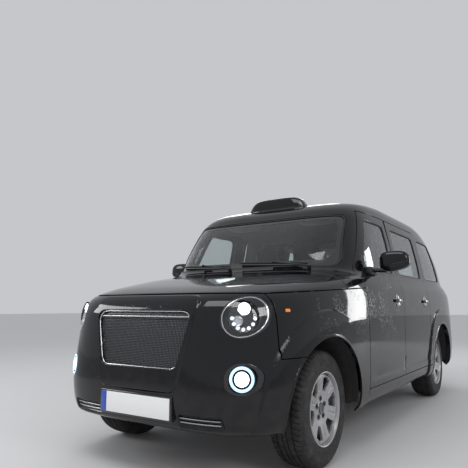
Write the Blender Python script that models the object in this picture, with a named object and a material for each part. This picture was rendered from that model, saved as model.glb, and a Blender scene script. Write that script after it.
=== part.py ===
"""Purpose-built taxi cab, in metres. +Z is up, the cab faces -Y, and the origin is on the
ground under the middle of its overall box. Its left (kerb) side is at +X."""

import math

import bmesh
import bpy
from mathutils import Matrix, Vector

# Overall sizes
LENGTH = 4.60
BODY_WIDTH = 1.79
ROOF_HEIGHT = 1.84
BELT_Z = 1.18
WHEELBASE = 2.88
FRONT_OVERHANG = 0.745
TRACK = BODY_WIDTH * 0.7961

# Clearances and overruns
SEAT_GAP = 0.0003
FIT_GAP = 0.002
SIDE_GAP = 0.025
SHUT_GAP = 0.008
HINGE_LINE_GAP = 0.016
OVERRUN = 0.10

# Wall thicknesses of the body, measured in from the outer skin
SHELL_WALL = 0.045
DOOR_WALL = 0.070
DOOR_FRAME_WALL = 0.045
PILLAR_WALL = 0.130
GLASS_RECESS = 0.010
GLASS_THICKNESS = 0.005

# Wheels
TYRE_RADIUS = 0.335
TYRE_WIDTH = 0.215
TYRE_SHOULDER = 0.028
RIM_RADIUS = 0.206
RIM_WALL = 0.010
RIM_FACE_DEPTH = 0.030
RIM_FACE_THICKNESS = 0.022
RIM_SPOKES = 5
RIM_WINDOW_RADIUS = 0.038
RIM_WINDOW_CIRCLE = 0.128
ARCH_RADIUS = 0.415
LINER_WALL = 0.008

# Worked out from the sizes above
HALF_LENGTH = LENGTH / 2
HALF_WIDTH = BODY_WIDTH / 2
GLASSHOUSE_HEIGHT = ROOF_HEIGHT - BELT_Z
PLATE_PROUD = 0.012
NOSE_Y = -HALF_LENGTH + PLATE_PROUD
TAIL_Y = HALF_LENGTH
FRONT_AXLE_Y = -HALF_LENGTH + FRONT_OVERHANG
REAR_AXLE_Y = FRONT_AXLE_Y + WHEELBASE
AXLE_Z = TYRE_RADIUS
WHEEL_X = TRACK / 2
FRONT_LINER_X = HALF_WIDTH * 0.3966
REAR_LINER_X = HALF_WIDTH * 0.6536
SIDES = {"left": 1, "right": -1}

# Belt-level shape of the body: each ring runs once round the cab. Lengthways places are shares
# of the nose's or tail's distance, widths of the half width, heights of the roof's height.
# ring: front reach, front height, side reach, side height, rear reach, rear height, and the
# squareness of its front and rear corners.
BODY_RING_SHARES = (
    (0.945, 0.138, 0.935, 0.147, 0.960, 0.163, 5.0, 8.5),
    (0.985, 0.160, 0.968, 0.168, 0.987, 0.187, 5.2, 9.0),
    (1.000, 0.255, 0.993, 0.275, 1.000, 0.290, 5.2, 9.0),
    (0.997, 0.330, 0.998, 0.370, 0.998, 0.365, 5.0, 9.0),
    (0.992, 0.410, 1.000, 0.455, 0.990, 0.450, 4.8, 9.0),
    (0.972, 0.516, 0.990, 0.560, 0.970, 0.568, 4.6, 9.0),
    (0.950, 0.540, 0.977, 0.590, 0.959, 0.594, 4.5, 8.5),
    (0.895, 0.563, 0.963, 0.610, 0.948, 0.612, 4.4, 8.5),
    (0.725, 0.605, 0.953, 0.626, 0.937, 0.624, 4.4, 8.0),
    (0.548, 0.644, 0.944, 0.641, 0.924, 0.637, 4.5, 8.0),
    (0.415, 0.835, 0.872, 0.835, 0.850, 0.835, 6.0, 7.5),
    (0.375, 0.886, 0.842, 0.903, 0.808, 0.893, 6.5, 7.0),
    (0.342, 0.922, 0.812, 0.945, 0.775, 0.926, 6.0, 6.5),
    (0.290, 0.952, 0.766, 0.970, 0.730, 0.952, 5.5, 6.0),
    (0.200, 0.974, 0.640, 0.986, 0.650, 0.974, 4.5, 5.0),
    (0.060, 0.990, 0.370, 0.996, 0.490, 0.990, 3.0, 3.0),
)
BELT_SHARE = 0.6413
BELT_RING = 9
FIRST_LEANING_RING = 2
BLEND_SHARE = 0.30
RING_STEPS = 18
TURN_SHARE = 0.50
MIDDLE_Y = 0.0

# Side view places, lengthways from the origin and up from the ground
DOOR_FRONT_Y = -0.940
DOOR_MIDDLE_Y = -0.064
DOOR_REAR_Y = 0.850
DOOR_BOTTOM_Z = 0.375
DOOR_TOP_Z = BELT_Z + GLASSHOUSE_HEIGHT * 0.7394
A_PILLAR_TOP_Y = -0.655
SHUT_SLANT = 0.014
SILL_TOP_Z = DOOR_BOTTOM_Z - SHUT_GAP
SHOULDER_FRONT_Z = 1.003
SHOULDER_REAR_Z = 1.062
WING_FRONT_Y = -2.035
BUMPER_TOP_Z = 0.655
REAR_BUMPER_TOP_Z = 0.555
REAR_BUMPER_FRONT_Y = 1.95
WINDOW_BOTTOM_Z = 1.195
WINDOW_TOP_Z = BELT_Z + GLASSHOUSE_HEIGHT * 0.6440
WINDOW_CORNER = 0.045
WINDOW_FRAME = 0.085

# Floor, chassis legs and bulkhead
FLOOR_Z = 0.300
FLOOR_THICKNESS = 0.040
REAR_FLOOR_Z = 0.500
RISER_Y = 0.900
BULKHEAD_Y = -0.985
BULKHEAD_THICKNESS = 0.030
BULKHEAD_TOP_Z = 1.000
LEG_INNER_X = HALF_WIDTH * 0.3017
LEG_OUTER_X = HALF_WIDTH * 0.4000
LEG_BOTTOM_Z = 0.500
LEG_TOP_Z = 0.590
LEG_FRONT_Y = -2.150
APRON_X = HALF_WIDTH * 0.5587
APRON_DEPTH = 0.080
LINER_BOTTOM_Z = 0.300

# Front view places
SCREEN_BOTTOM_Z = 1.212
SCREEN_TOP_Z = BELT_Z + GLASSHOUSE_HEIGHT * 0.6788
SCREEN_BOTTOM_X = HALF_WIDTH * 0.8212
SCREEN_TOP_X = HALF_WIDTH * 0.7710
GRILLE_TOP_Z = 0.905
GRILLE_BOTTOM_Z = 0.590
GRILLE_TOP_X = HALF_WIDTH * 0.4156
GRILLE_BOTTOM_X = HALF_WIDTH * 0.3184
GRILLE_CORNER = 0.060
GRILLE_RECESS = 0.014
GRILLE_DEPTH = 0.016
GRILLE_BAR_PITCH = 0.045
GRILLE_BAR_HEIGHT = 0.012
GRILLE_BAR_PROUD = 0.010
HEADLAMP_X = HALF_WIDTH * 0.7151
HEADLAMP_Z = 0.874
HEADLAMP_RADIUS = 0.112
LAMP_DEPTH = 0.060
FOG_X = HALF_WIDTH * 0.7218
FOG_Z = 0.560
FOG_RADIUS = 0.080
PLATE_WIDTH = 0.520
PLATE_HEIGHT = 0.111
PLATE_Z = 0.388
REAR_PLATE_Z = 0.700

# Rear view places
TAILGATE_BOTTOM_Z = REAR_BUMPER_TOP_Z + SHUT_GAP
TAILGATE_TOP_Z = BELT_Z + GLASSHOUSE_HEIGHT * 0.6970
TAILGATE_BOTTOM_X = HALF_WIDTH * 0.7374
TAILGATE_WAIST_X = HALF_WIDTH * 0.7710
TAILGATE_TOP_X = HALF_WIDTH * 0.6704
REAR_WINDOW_BOTTOM_Z = 1.165
REAR_WINDOW_TOP_Z = BELT_Z + GLASSHOUSE_HEIGHT * 0.5760
REAR_WINDOW_BOTTOM_X = HALF_WIDTH * 0.6816
REAR_WINDOW_TOP_X = HALF_WIDTH * 0.5978
TAIL_LAMP_INNER_X = HALF_WIDTH * 0.7989
TAIL_LAMP_BOTTOM_Z = 0.760
TAIL_LAMP_TOP_Z = 1.080
TAIL_CUT_Y = 1.50

# Hinges
KNUCKLE_RADIUS = 0.008
KNUCKLE_HEIGHT = 0.040
KNUCKLE_SINK = 0.004
HINGE_PLATE = 0.006
DOOR_HINGE_HEIGHTS = (0.560, 0.960)
BONNET_REAR_Y = -1.285
BONNET_HINGE_X = HALF_WIDTH * 0.3352
TAILGATE_HINGE_X = HALF_WIDTH * 0.4693
LID_KNUCKLE_LENGTH = 0.060

# Steering and axles
KINGPIN_X = HALF_WIDTH * 0.7374
KINGPIN_RADIUS = 0.020
KINGPIN_HALF_HEIGHT = 0.100
KINGPIN_STEPS = 24
ARM_THICKNESS = 0.026
ARM_HALF_WIDTH = 0.024
HUB_FLANGE_RADIUS = 0.058
HUB_FLANGE_THICKNESS = 0.014
STUB_RADIUS = 0.024
CROSSMEMBER_DEPTH = 0.120
CROSSMEMBER_BOTTOM_Z = 0.200
CROSSMEMBER_TOP_Z = 0.270
UPRIGHT_HALF_HEIGHT = 0.070
AXLE_TUBE_RADIUS = 0.036
DIFFERENTIAL_RADIUS = 0.105
DAMPER_RADIUS = 0.026
DAMPER_X = HALF_WIDTH * 0.5587

# Mirrors and roof sign
MIRROR_OUTER_X = HALF_WIDTH * 1.2514
MIRROR_INNER_X = HALF_WIDTH * 1.0112
MIRROR_Y = -0.690
MIRROR_Z = 1.255
MIRROR_HEIGHT = 0.155
MIRROR_DEPTH = 0.105
MIRROR_ARM = 0.040
MIRROR_ROOT_X = HALF_WIDTH * 0.8715
SIGN_Y = -0.600
SIGN_WIDTH = 0.560
SIGN_TOP_WIDTH_SHARE = 0.72
SIGN_DEPTH = 0.135
SIGN_PROUD = 0.022
SIGN_TOP_Z = ROOF_HEIGHT + SIGN_PROUD
SIGN_ROUNDING = 0.028

# Cabin
DASH_REAR_Y = -0.740
DASH_NOSE = 0.060
DASH_TOP_Z = 1.085
DASH_BOTTOM_Z = 0.700
DASH_SHELF_Z = 1.110
DASH_SHELF_FRONT_Y = -1.200
DRIVER_X = -HALF_WIDTH * 0.4134
STEERING_RADIUS = 0.190
STEERING_RIM = 0.014
STEERING_Y = -0.620
STEERING_Z = 1.010
STEERING_TILT_DEG = 28.0
STEERING_SPOKES_DEG = (0.0, 180.0, 270.0)
STEERING_STEPS = 18
STEERING_SIDES = 6
COLUMN_RADIUS = 0.030
COLUMN_GAP = 0.035
COLUMN_LENGTH = 0.200
SEAT_WIDTH = BODY_WIDTH * 0.2793
SEAT_FRONT_Y = -0.640
SEAT_DEPTH = 0.530
SEAT_HEIGHT = 0.330
SEAT_CUSHION = 0.120
SEAT_BACK_HEIGHT = GLASSHOUSE_HEIGHT * 0.9700
SEAT_BACK_THICKNESS = 0.120
HEADREST_WIDTH = 0.260
HEADREST_HEIGHT = GLASSHOUSE_HEIGHT * 0.2880
PARTITION_Y = -0.085
PARTITION_THICKNESS = 0.026
PARTITION_WINDOW_BOTTOM_Z = 1.020
PARTITION_WINDOW_TOP_Z = BELT_Z + GLASSHOUSE_HEIGHT * 0.5150
PARTITION_WINDOW_X = HALF_WIDTH * 0.5140
TIP_SEAT_X = HALF_WIDTH * 0.3687
TIP_SEAT_WIDTH = HALF_WIDTH * 0.4469
TIP_SEAT_HEIGHT = 0.420
TIP_SEAT_THICKNESS = 0.070
TIP_SEAT_BOTTOM_Z = 0.520
BENCH_WIDTH = BODY_WIDTH * 0.6257
BENCH_FRONT_Y = 0.400
BENCH_HEIGHT = 0.400
BENCH_BACK_HEIGHT = GLASSHOUSE_HEIGHT * 0.9400
BENCH_BACK_THICKNESS = 0.150
ENGINE_WIDTH = BODY_WIDTH * 0.2682
ENGINE_FRONT_Y = -1.960
ENGINE_REAR_Y = -1.220
ENGINE_HEIGHT = 0.480

# Colours, roughness and metallic value of each material
MATERIALS = {
    "black_paint": ((0.012, 0.012, 0.014), 0.12, 0.0),
    "tinted_glass": ((0.05, 0.06, 0.065), 0.05, 0.0),
    "lamp_lens": ((0.85, 0.87, 0.9), 0.05, 0.0),
    "red_lens": ((0.45, 0.02, 0.02), 0.1, 0.0),
    "black_plastic": ((0.02, 0.02, 0.02), 0.5, 0.0),
    "grille_mesh": ((0.04, 0.04, 0.045), 0.35, 0.6),
    "tyre_rubber": ((0.025, 0.025, 0.025), 0.85, 0.0),
    "wheel_alloy": ((0.55, 0.55, 0.56), 0.3, 1.0),
    "chassis_steel": ((0.06, 0.06, 0.065), 0.6, 0.4),
    "seat_cloth": ((0.035, 0.035, 0.04), 0.9, 0.0),
    "sign_black": ((0.015, 0.015, 0.015), 0.3, 0.0),
}

parts = bpy.data.collections.new("taxi_cab")


# Clearing and material helpers


def clear_scene():
    for old in list(bpy.data.objects):
        bpy.data.objects.remove(old)
    bpy.context.scene.collection.children.link(parts)


def material(name):
    found = bpy.data.materials.get(name)
    if found:
        return found
    colour, roughness, metallic = MATERIALS[name]
    made = bpy.data.materials.new(name)
    made.use_nodes = True
    shader = made.node_tree.nodes["Principled BSDF"]
    shader.inputs["Base Color"].default_value = (*colour, 1.0)
    shader.inputs["Roughness"].default_value = roughness
    shader.inputs["Metallic"].default_value = metallic
    return made


# Mesh helpers: solids are made as loose objects, joined or cut, and then kept as parts


def solid(bm):
    """A loose object from a bmesh, with its normals facing out."""
    bmesh.ops.recalc_face_normals(bm, faces=bm.faces)
    mesh = bpy.data.meshes.new("solid")
    bm.to_mesh(mesh)
    bm.free()
    made = bpy.data.objects.new("solid", mesh)
    bpy.context.scene.collection.objects.link(made)
    return made


def box(low, high):
    """A box from its lowest corner to its highest."""
    low, high = Vector(low), Vector(high)
    bm = bmesh.new()
    bmesh.ops.create_cube(bm, size=1.0)
    bmesh.ops.scale(bm, vec=high - low, verts=bm.verts)
    bmesh.ops.translate(bm, vec=(low + high) / 2, verts=bm.verts)
    return solid(bm)


def rounded_box(low, high, radius, segments=2):
    """A box with its twelve edges rounded."""
    made = box(low, high)
    bm = bmesh.new()
    bm.from_mesh(made.data)
    bpy.data.objects.remove(made)
    bmesh.ops.bevel(
        bm, geom=bm.edges, offset=radius, segments=segments, profile=0.5, affect="EDGES"
    )
    return solid(bm)


def cylinder(start, end, radius, steps=16, end_radius=None):
    """A cylinder or cone from one point to another."""
    start, end = Vector(start), Vector(end)
    way = end - start
    bm = bmesh.new()
    bmesh.ops.create_cone(
        bm,
        cap_ends=True,
        segments=steps,
        radius1=radius,
        radius2=radius if end_radius is None else end_radius,
        depth=way.length,
    )
    turn = way.to_track_quat("Z", "Y").to_matrix().to_4x4()
    bmesh.ops.transform(bm, matrix=Matrix.Translation((start + end) / 2) @ turn, verts=bm.verts)
    return solid(bm)


def rounded_outline(points, radius, steps=3):
    """The outline's corners as arcs of about the same radius."""
    made = []
    count = len(points)
    for i, corner in enumerate(points):
        corner = Vector(corner)
        before = Vector(points[i - 1]) - corner
        after = Vector(points[(i + 1) % count]) - corner
        reach = min(radius, before.length * 0.45, after.length * 0.45)
        first = corner + before.normalized() * reach
        last = corner + after.normalized() * reach
        for step in range(steps + 1):
            t = step / steps
            made.append(first * (1 - t) ** 2 + corner * 2 * t * (1 - t) + last * t * t)
    return made


def offset_outline(points, distance):
    """A convex outline moved outwards by a distance, or inwards if it is negative."""
    count = len(points)
    area = sum(
        points[i - 1][0] * points[i][1] - points[i][0] * points[i - 1][1] for i in range(count)
    )
    out = distance if area > 0 else -distance
    lines = []
    for i in range(count):
        a, b = Vector(points[i]), Vector(points[(i + 1) % count])
        along = (b - a).normalized()
        lines.append((a + Vector((along.y, -along.x)) * out, along))
    moved = []
    for i in range(count):
        (p, d), (q, e) = lines[i - 1], lines[i]
        cross = d.x * e.y - d.y * e.x
        if abs(cross) < 1e-9:
            moved.append(q)
        else:
            t = ((q.x - p.x) * e.y - (q.y - p.y) * e.x) / cross
            moved.append(p + d * t)
    return moved


def prism(outline, low, high, axis):
    """A flat outline given depth along an axis: X takes (y, z) points, Y (x, z), Z (x, y)."""
    place = {
        "X": lambda p, d: (d, p[0], p[1]),
        "Y": lambda p, d: (p[0], d, p[1]),
        "Z": lambda p, d: (p[0], p[1], d),
    }[axis]
    bm = bmesh.new()
    face = bm.faces.new([bm.verts.new(place(p, low)) for p in outline])
    grown = bmesh.ops.extrude_face_region(bm, geom=[face])
    moved = [v for v in grown["geom"] if isinstance(v, bmesh.types.BMVert)]
    shift = Vector(place((0, 0), high)) - Vector(place((0, 0), low))
    bmesh.ops.translate(bm, vec=shift, verts=moved)
    return solid(bm)


def tidied(mesh):
    """The mesh without the flat scraps that a cut can leave behind."""
    bm = bmesh.new()
    bm.from_mesh(mesh)
    bmesh.ops.remove_doubles(bm, verts=bm.verts, dist=SEAT_GAP / 30)
    bmesh.ops.dissolve_degenerate(bm, edges=bm.edges, dist=SEAT_GAP / 30)
    scraps, seen = [], set()
    for first in bm.verts:
        if first in seen:
            continue
        island, waiting = {first}, [first]
        while waiting:
            for edge in waiting.pop().link_edges:
                for vert in edge.verts:
                    if vert not in island:
                        island.add(vert)
                        waiting.append(vert)
        seen |= island
        if len(island) < 4:
            scraps += island
    bmesh.ops.delete(bm, geom=scraps, context="VERTS")
    bm.to_mesh(mesh)
    bm.free()
    return mesh


def combine(base, operation, *others, solver="EXACT"):
    """Cuts, joins or intersects loose solids in turn. The others are used up."""
    for other in others:
        modifier = base.modifiers.new("combine", "BOOLEAN")
        modifier.operation = operation
        modifier.solver = solver
        modifier.object = other
        bpy.context.view_layer.update()
        graph = bpy.context.evaluated_depsgraph_get()
        mesh = bpy.data.meshes.new_from_object(base.evaluated_get(graph))
        base.modifiers.clear()
        base.data = tidied(mesh) if solver == "EXACT" else mesh
        bpy.data.objects.remove(other)
    return base


def cut(base, *others):
    return combine(base, "DIFFERENCE", *others)


def join(base, *others):
    return combine(base, "UNION", *others)


def meet(base, *others):
    return combine(base, "INTERSECT", *others)


def carve(base, *others):
    """A cut for the large shell, where the exact solver drops what it should keep."""
    return combine(base, "DIFFERENCE", *others, solver="MANIFOLD")


def weld(base, *others):
    return combine(base, "UNION", *others, solver="MANIFOLD")


def copy(base):
    made = base.copy()
    made.data = base.data.copy()
    bpy.context.scene.collection.objects.link(made)
    return made


def mirrored(base, side):
    """A copy of a left-hand solid, for the side that is asked for."""
    made = copy(base)
    if side < 0:
        made.data.transform(Matrix.Diagonal((-1, 1, 1, 1)))
        made.data.flip_normals()
    return made


def mirrored_away(base, side):
    """The same as mirrored, but the left-hand solid is used up."""
    made = mirrored(base, side)
    bpy.data.objects.remove(base)
    return made


def keep(base, name, material_name, origin=(0, 0, 0)):
    """Names a finished solid and stores it as a part, with its origin where it is asked for."""
    base.name = name
    base.data.name = name
    base.data.transform(Matrix.Translation(-Vector(origin)))
    base.location = origin
    base.data.materials.clear()
    base.data.materials.append(material(material_name))
    base.data.shade_smooth()
    base.data.set_sharp_from_angle(angle=math.radians(30))
    bpy.context.scene.collection.objects.unlink(base)
    parts.objects.link(base)
    return base


# The body's outer form


def smooth_step(t):
    t = min(max(t, 0.0), 1.0)
    return t * t * (3 - 2 * t)


def ring_outline(front_y, rear_y, half_width, front_power, rear_power):
    """The (x, y) points round the left half of a ring, closer together where it turns."""
    dense = []
    count = 360
    for i in range(count + 1):
        angle = math.pi * i / count
        power = front_power if angle <= math.pi / 2 else rear_power
        reach = (MIDDLE_Y - front_y) if angle <= math.pi / 2 else (rear_y - MIDDLE_Y)
        x = half_width * abs(math.sin(angle)) ** (2 / power)
        y = MIDDLE_Y - math.copysign(reach * abs(math.cos(angle)) ** (2 / power), math.cos(angle))
        dense.append(Vector((x, y)))
    walked, total = [0.0], sum((b - a).length for a, b in zip(dense, dense[1:]))
    for i in range(1, count + 1):
        step = dense[i] - dense[i - 1]
        turn = step.angle(dense[i - 1] - dense[i - 2]) if i > 1 else 0.0
        walked.append(walked[-1] + (1 - TURN_SHARE) * step.length / total + TURN_SHARE * turn / math.pi)
    points, at = [], 0
    for i in range(RING_STEPS + 1):
        want = walked[-1] * i / RING_STEPS
        while at < count - 1 and walked[at + 1] < want:
            at += 1
        t = (want - walked[at]) / (walked[at + 1] - walked[at])
        points.append(dense[at].lerp(dense[at + 1], t))
    return points


def level(share):
    """A ring's height share as a height."""
    if share <= BELT_SHARE:
        return BELT_Z * share / BELT_SHARE
    return BELT_Z + GLASSHOUSE_HEIGHT * (share - BELT_SHARE) / (1 - BELT_SHARE)


def ring_points(row, inset):
    """The left half of one ring as points in space, from the nose to the tail."""
    front, front_z, side, side_z, rear, rear_z, front_power, rear_power = row
    outline = ring_outline(
        NOSE_Y * front + inset,
        TAIL_Y * rear - inset,
        HALF_WIDTH * side - inset,
        front_power,
        rear_power,
    )
    points = []
    for point in outline:
        t = (point.y - outline[0].y) / (outline[-1].y - outline[0].y)
        share = side_z
        share += (front_z - side_z) * (1 - smooth_step(t / BLEND_SHARE))
        share += (rear_z - side_z) * smooth_step((t - 1 + BLEND_SHARE) / BLEND_SHARE)
        points.append(Vector((point.x, point.y, level(share))))
    points[0].x = points[-1].x = 0.0
    return points


def skin_lean(grid, row, i):
    """How far the skin faces up at a place: nothing on a wall, and one on a flat roof."""
    up = grid[min(row + 1, len(grid) - 1)][i] - grid[max(row - 1, 0)][i]
    along = grid[row][min(i + 1, RING_STEPS)] - grid[row][max(i - 1, 0)]
    if i in (0, RING_STEPS):
        along = Vector((1, 0, 0))
    return abs(along.cross(up).normalized().z)


def body_form(inset=0.0, frame_inset=None, open_below=False):
    """The body's closed outer form, or the same form with its skin moved in by an inset. The
    inset above the belt may differ, and an open form runs on below the sills."""
    frame_inset = inset if frame_inset is None else frame_inset
    skin = [ring_points(row, 0.0) for row in BODY_RING_SHARES]
    bm = bmesh.new()
    rings = []
    for number, row in enumerate(BODY_RING_SHARES):
        height = row[3] / BODY_RING_SHARES[BELT_RING][3]
        here = inset + (frame_inset - inset) * smooth_step((height - 0.94) / 0.06)
        left = ring_points(row, here)
        for i, point in enumerate(left):
            if number > FIRST_LEANING_RING:
                point.z -= here * skin_lean(skin, number, i)
        sides = left + [Vector((-p.x, p.y, p.z)) for p in left[-2:0:-1]]
        if open_below and number == 0:
            rings.append([bm.verts.new(p - Vector((0, 0, OVERRUN))) for p in sides])
        rings.append([bm.verts.new(p) for p in sides])
    count = len(rings[0])
    for low, high in zip(rings, rings[1:]):
        for i in range(count):
            j = (i + 1) % count
            bm.faces.new((low[i], low[j], high[j], high[i]))
    for ring in (rings[0], rings[-1]):
        for i in range(RING_STEPS):
            corners = (ring[i], ring[i + 1], ring[-i - 1], ring[-i])
            bm.faces.new(list(dict.fromkeys(corners)))
    bmesh.ops.triangulate(bm, faces=bm.faces, quad_method="FIXED")
    return solid(bm)


def skin_layer(outer_inset, inner_inset):
    """The layer of the body between two insets."""
    return cut(body_form(outer_inset), body_form(inner_inset, open_below=True))


def arch_cutter(axle_y, side, inner_x):
    """The wheel arch's round opening, from inside the body to past its side."""
    return cylinder(
        (side * inner_x, axle_y, AXLE_Z),
        (side * (HALF_WIDTH + OVERRUN), axle_y, AXLE_Z),
        ARCH_RADIUS,
        steps=36,
    )


def side_prism(outline, side, inner_x=0.0):
    """A side-view outline as a prism from inner_x out past the body's side."""
    low, high = sorted((side * inner_x, side * (HALF_WIDTH + OVERRUN)))
    return prism(outline, low, high, "X")


# Outlines of the panels in side, front and rear view


def front_door_outline(grow=0.0):
    rear_y = DOOR_MIDDLE_Y - HINGE_LINE_GAP
    return offset_outline(
        [
            (DOOR_FRONT_Y, DOOR_BOTTOM_Z),
            (rear_y, DOOR_BOTTOM_Z),
            (rear_y, BELT_Z),
            (rear_y - SHUT_SLANT, DOOR_TOP_Z),
            (A_PILLAR_TOP_Y, DOOR_TOP_Z),
            (DOOR_FRONT_Y, BELT_Z),
        ],
        grow,
    )


def rear_door_outline(grow=0.0):
    return offset_outline(
        [
            (DOOR_MIDDLE_Y, DOOR_BOTTOM_Z),
            (DOOR_REAR_Y, DOOR_BOTTOM_Z),
            (DOOR_REAR_Y, BELT_Z),
            (DOOR_REAR_Y - SHUT_SLANT, DOOR_TOP_Z),
            (DOOR_MIDDLE_Y, DOOR_TOP_Z),
        ],
        grow,
    )


def front_door_window(grow=0.0):
    rear_y = DOOR_MIDDLE_Y - HINGE_LINE_GAP - WINDOW_FRAME
    return offset_outline(
        [
            (DOOR_FRONT_Y + WINDOW_FRAME * 1.5, WINDOW_BOTTOM_Z),
            (rear_y, WINDOW_BOTTOM_Z),
            (rear_y, WINDOW_TOP_Z),
            (A_PILLAR_TOP_Y + WINDOW_FRAME * 0.65, WINDOW_TOP_Z),
        ],
        grow,
    )


def rear_door_window(grow=0.0):
    return offset_outline(
        [
            (DOOR_MIDDLE_Y + WINDOW_FRAME, WINDOW_BOTTOM_Z),
            (DOOR_REAR_Y - WINDOW_FRAME, WINDOW_BOTTOM_Z),
            (DOOR_REAR_Y - WINDOW_FRAME, WINDOW_TOP_Z),
            (DOOR_MIDDLE_Y + WINDOW_FRAME, WINDOW_TOP_Z),
        ],
        grow,
    )


QUARTER_WINDOW_REAR_Y = 1.620
QUARTER_WINDOW_RAKE = 0.110


def quarter_window(grow=0.0):
    return offset_outline(
        [
            (DOOR_REAR_Y + WINDOW_FRAME, WINDOW_BOTTOM_Z),
            (QUARTER_WINDOW_REAR_Y, WINDOW_BOTTOM_Z),
            (QUARTER_WINDOW_REAR_Y - QUARTER_WINDOW_RAKE, WINDOW_TOP_Z),
            (DOOR_REAR_Y + WINDOW_FRAME, WINDOW_TOP_Z),
        ],
        grow,
    )


def screen_outline(grow=0.0):
    return offset_outline(
        [
            (-SCREEN_BOTTOM_X, SCREEN_BOTTOM_Z),
            (SCREEN_BOTTOM_X, SCREEN_BOTTOM_Z),
            (SCREEN_TOP_X, SCREEN_TOP_Z),
            (-SCREEN_TOP_X, SCREEN_TOP_Z),
        ],
        grow,
    )


def tailgate_outline(grow=0.0):
    return offset_outline(
        [
            (-TAILGATE_BOTTOM_X, TAILGATE_BOTTOM_Z),
            (TAILGATE_BOTTOM_X, TAILGATE_BOTTOM_Z),
            (TAILGATE_WAIST_X, BELT_Z),
            (TAILGATE_TOP_X, TAILGATE_TOP_Z),
            (-TAILGATE_TOP_X, TAILGATE_TOP_Z),
            (-TAILGATE_WAIST_X, BELT_Z),
        ],
        grow,
    )


def rear_window_outline(grow=0.0):
    return offset_outline(
        [
            (-REAR_WINDOW_BOTTOM_X, REAR_WINDOW_BOTTOM_Z),
            (REAR_WINDOW_BOTTOM_X, REAR_WINDOW_BOTTOM_Z),
            (REAR_WINDOW_TOP_X, REAR_WINDOW_TOP_Z),
            (-REAR_WINDOW_TOP_X, REAR_WINDOW_TOP_Z),
        ],
        grow,
    )


def grille_outline(grow=0.0):
    return offset_outline(
        [
            (-GRILLE_BOTTOM_X, GRILLE_BOTTOM_Z),
            (GRILLE_BOTTOM_X, GRILLE_BOTTOM_Z),
            (GRILLE_TOP_X, GRILLE_TOP_Z),
            (-GRILLE_TOP_X, GRILLE_TOP_Z),
        ],
        grow,
    )


def window_prism(outline, low, high, axis):
    return prism(rounded_outline(outline, WINDOW_CORNER), low, high, axis)


def front_prism(outline, rounding=None):
    points = rounded_outline(outline, rounding) if rounding else outline
    return prism(points, NOSE_Y - OVERRUN, DOOR_FRONT_Y + OVERRUN, "Y")


def screen_prism(grow=0.0):
    return window_prism(
        screen_outline(grow), NOSE_Y * 0.75, A_PILLAR_TOP_Y + OVERRUN, "Y"
    )


def rear_prism(outline, rounding=WINDOW_CORNER):
    return prism(rounded_outline(outline, rounding), TAIL_CUT_Y, TAIL_Y + OVERRUN, "Y")


# The bonnet is everything above the shoulder line and ahead of the scuttle


def bonnet_space(grow=0.0):
    """The space that the bonnet takes up, grown all round where other panels are cut."""
    rise = (SHOULDER_REAR_Z - SHOULDER_FRONT_Z) / (DOOR_FRONT_Y - WING_FRONT_Y)
    rear_y = BONNET_REAR_Y + grow
    rear_z = SHOULDER_FRONT_Z + rise * (rear_y - WING_FRONT_Y) - grow
    side_view = [
        (NOSE_Y - OVERRUN, SHOULDER_FRONT_Z - grow),
        (WING_FRONT_Y, SHOULDER_FRONT_Z - grow),
        (rear_y, rear_z),
        (rear_y, ROOF_HEIGHT),
        (NOSE_Y - OVERRUN, ROOF_HEIGHT),
    ]
    wide = HALF_WIDTH + OVERRUN
    return prism(side_view, -wide, wide, "X")


def wing_outline(grow=0.0):
    """Side view of a front wing, from the lamp panel to the door."""
    rear_y = DOOR_FRONT_Y - SHUT_GAP
    return [
        (WING_FRONT_Y - grow, BUMPER_TOP_Z - grow),
        (FRONT_AXLE_Y, BUMPER_TOP_Z - grow),
        (FRONT_AXLE_Y, FLOOR_Z - OVERRUN),
        (rear_y + grow, FLOOR_Z - OVERRUN),
        (rear_y + grow, SHOULDER_REAR_Z - SHUT_GAP + grow),
        (WING_FRONT_Y - grow, SHOULDER_FRONT_Z - SHUT_GAP + grow),
    ]


# Door and lid hinges: a knuckle on the body beside one on the door, on the same axis


def skin_x(y, z):
    """How far out the body's side is at a place in side view."""
    form = bpy.data.objects["outer_form"]
    hit, place, _, _ = form.ray_cast(
        Vector((HALF_WIDTH + OVERRUN, y, z)), Vector((-1, 0, 0))
    )
    return place.x if hit else HALF_WIDTH


def door_axis_x(front_y):
    middle_z = sum(DOOR_HINGE_HEIGHTS) / len(DOOR_HINGE_HEIGHTS)
    return skin_x(front_y + SHUT_GAP, middle_z) - KNUCKLE_SINK


def knuckle(centre, axis, low, high, radius=KNUCKLE_RADIUS):
    """A stretch of a hinge's barrel, between two distances along its axis."""
    centre, axis = Vector(centre), Vector(axis)
    return cylinder(centre + axis * low, centre + axis * high, radius, steps=16)


def door_hinge_knuckles(front_y):
    """The door's own knuckles on the left side, above each knuckle of the body."""
    x = door_axis_x(front_y)
    return [
        knuckle((x, front_y, z), (0, 0, 1), SEAT_GAP, KNUCKLE_HEIGHT)
        for z in DOOR_HINGE_HEIGHTS
    ]


def body_hinge_knuckles(front_y):
    """The body's knuckles on the left side, each on a plate that runs in to its pillar."""
    x = door_axis_x(front_y)
    made = []
    for z in DOOR_HINGE_HEIGHTS:
        leaf = box(
            (x - DOOR_WALL - SHUT_GAP * 2, front_y - HINGE_PLATE - SEAT_GAP * 3, z - KNUCKLE_HEIGHT),
            (x, front_y - SEAT_GAP * 3, z - SEAT_GAP),
        )
        barrel = knuckle((x, front_y, z), (0, 0, 1), -KNUCKLE_HEIGHT, -SEAT_GAP)
        made.append(join(barrel, leaf))
    return made


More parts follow.
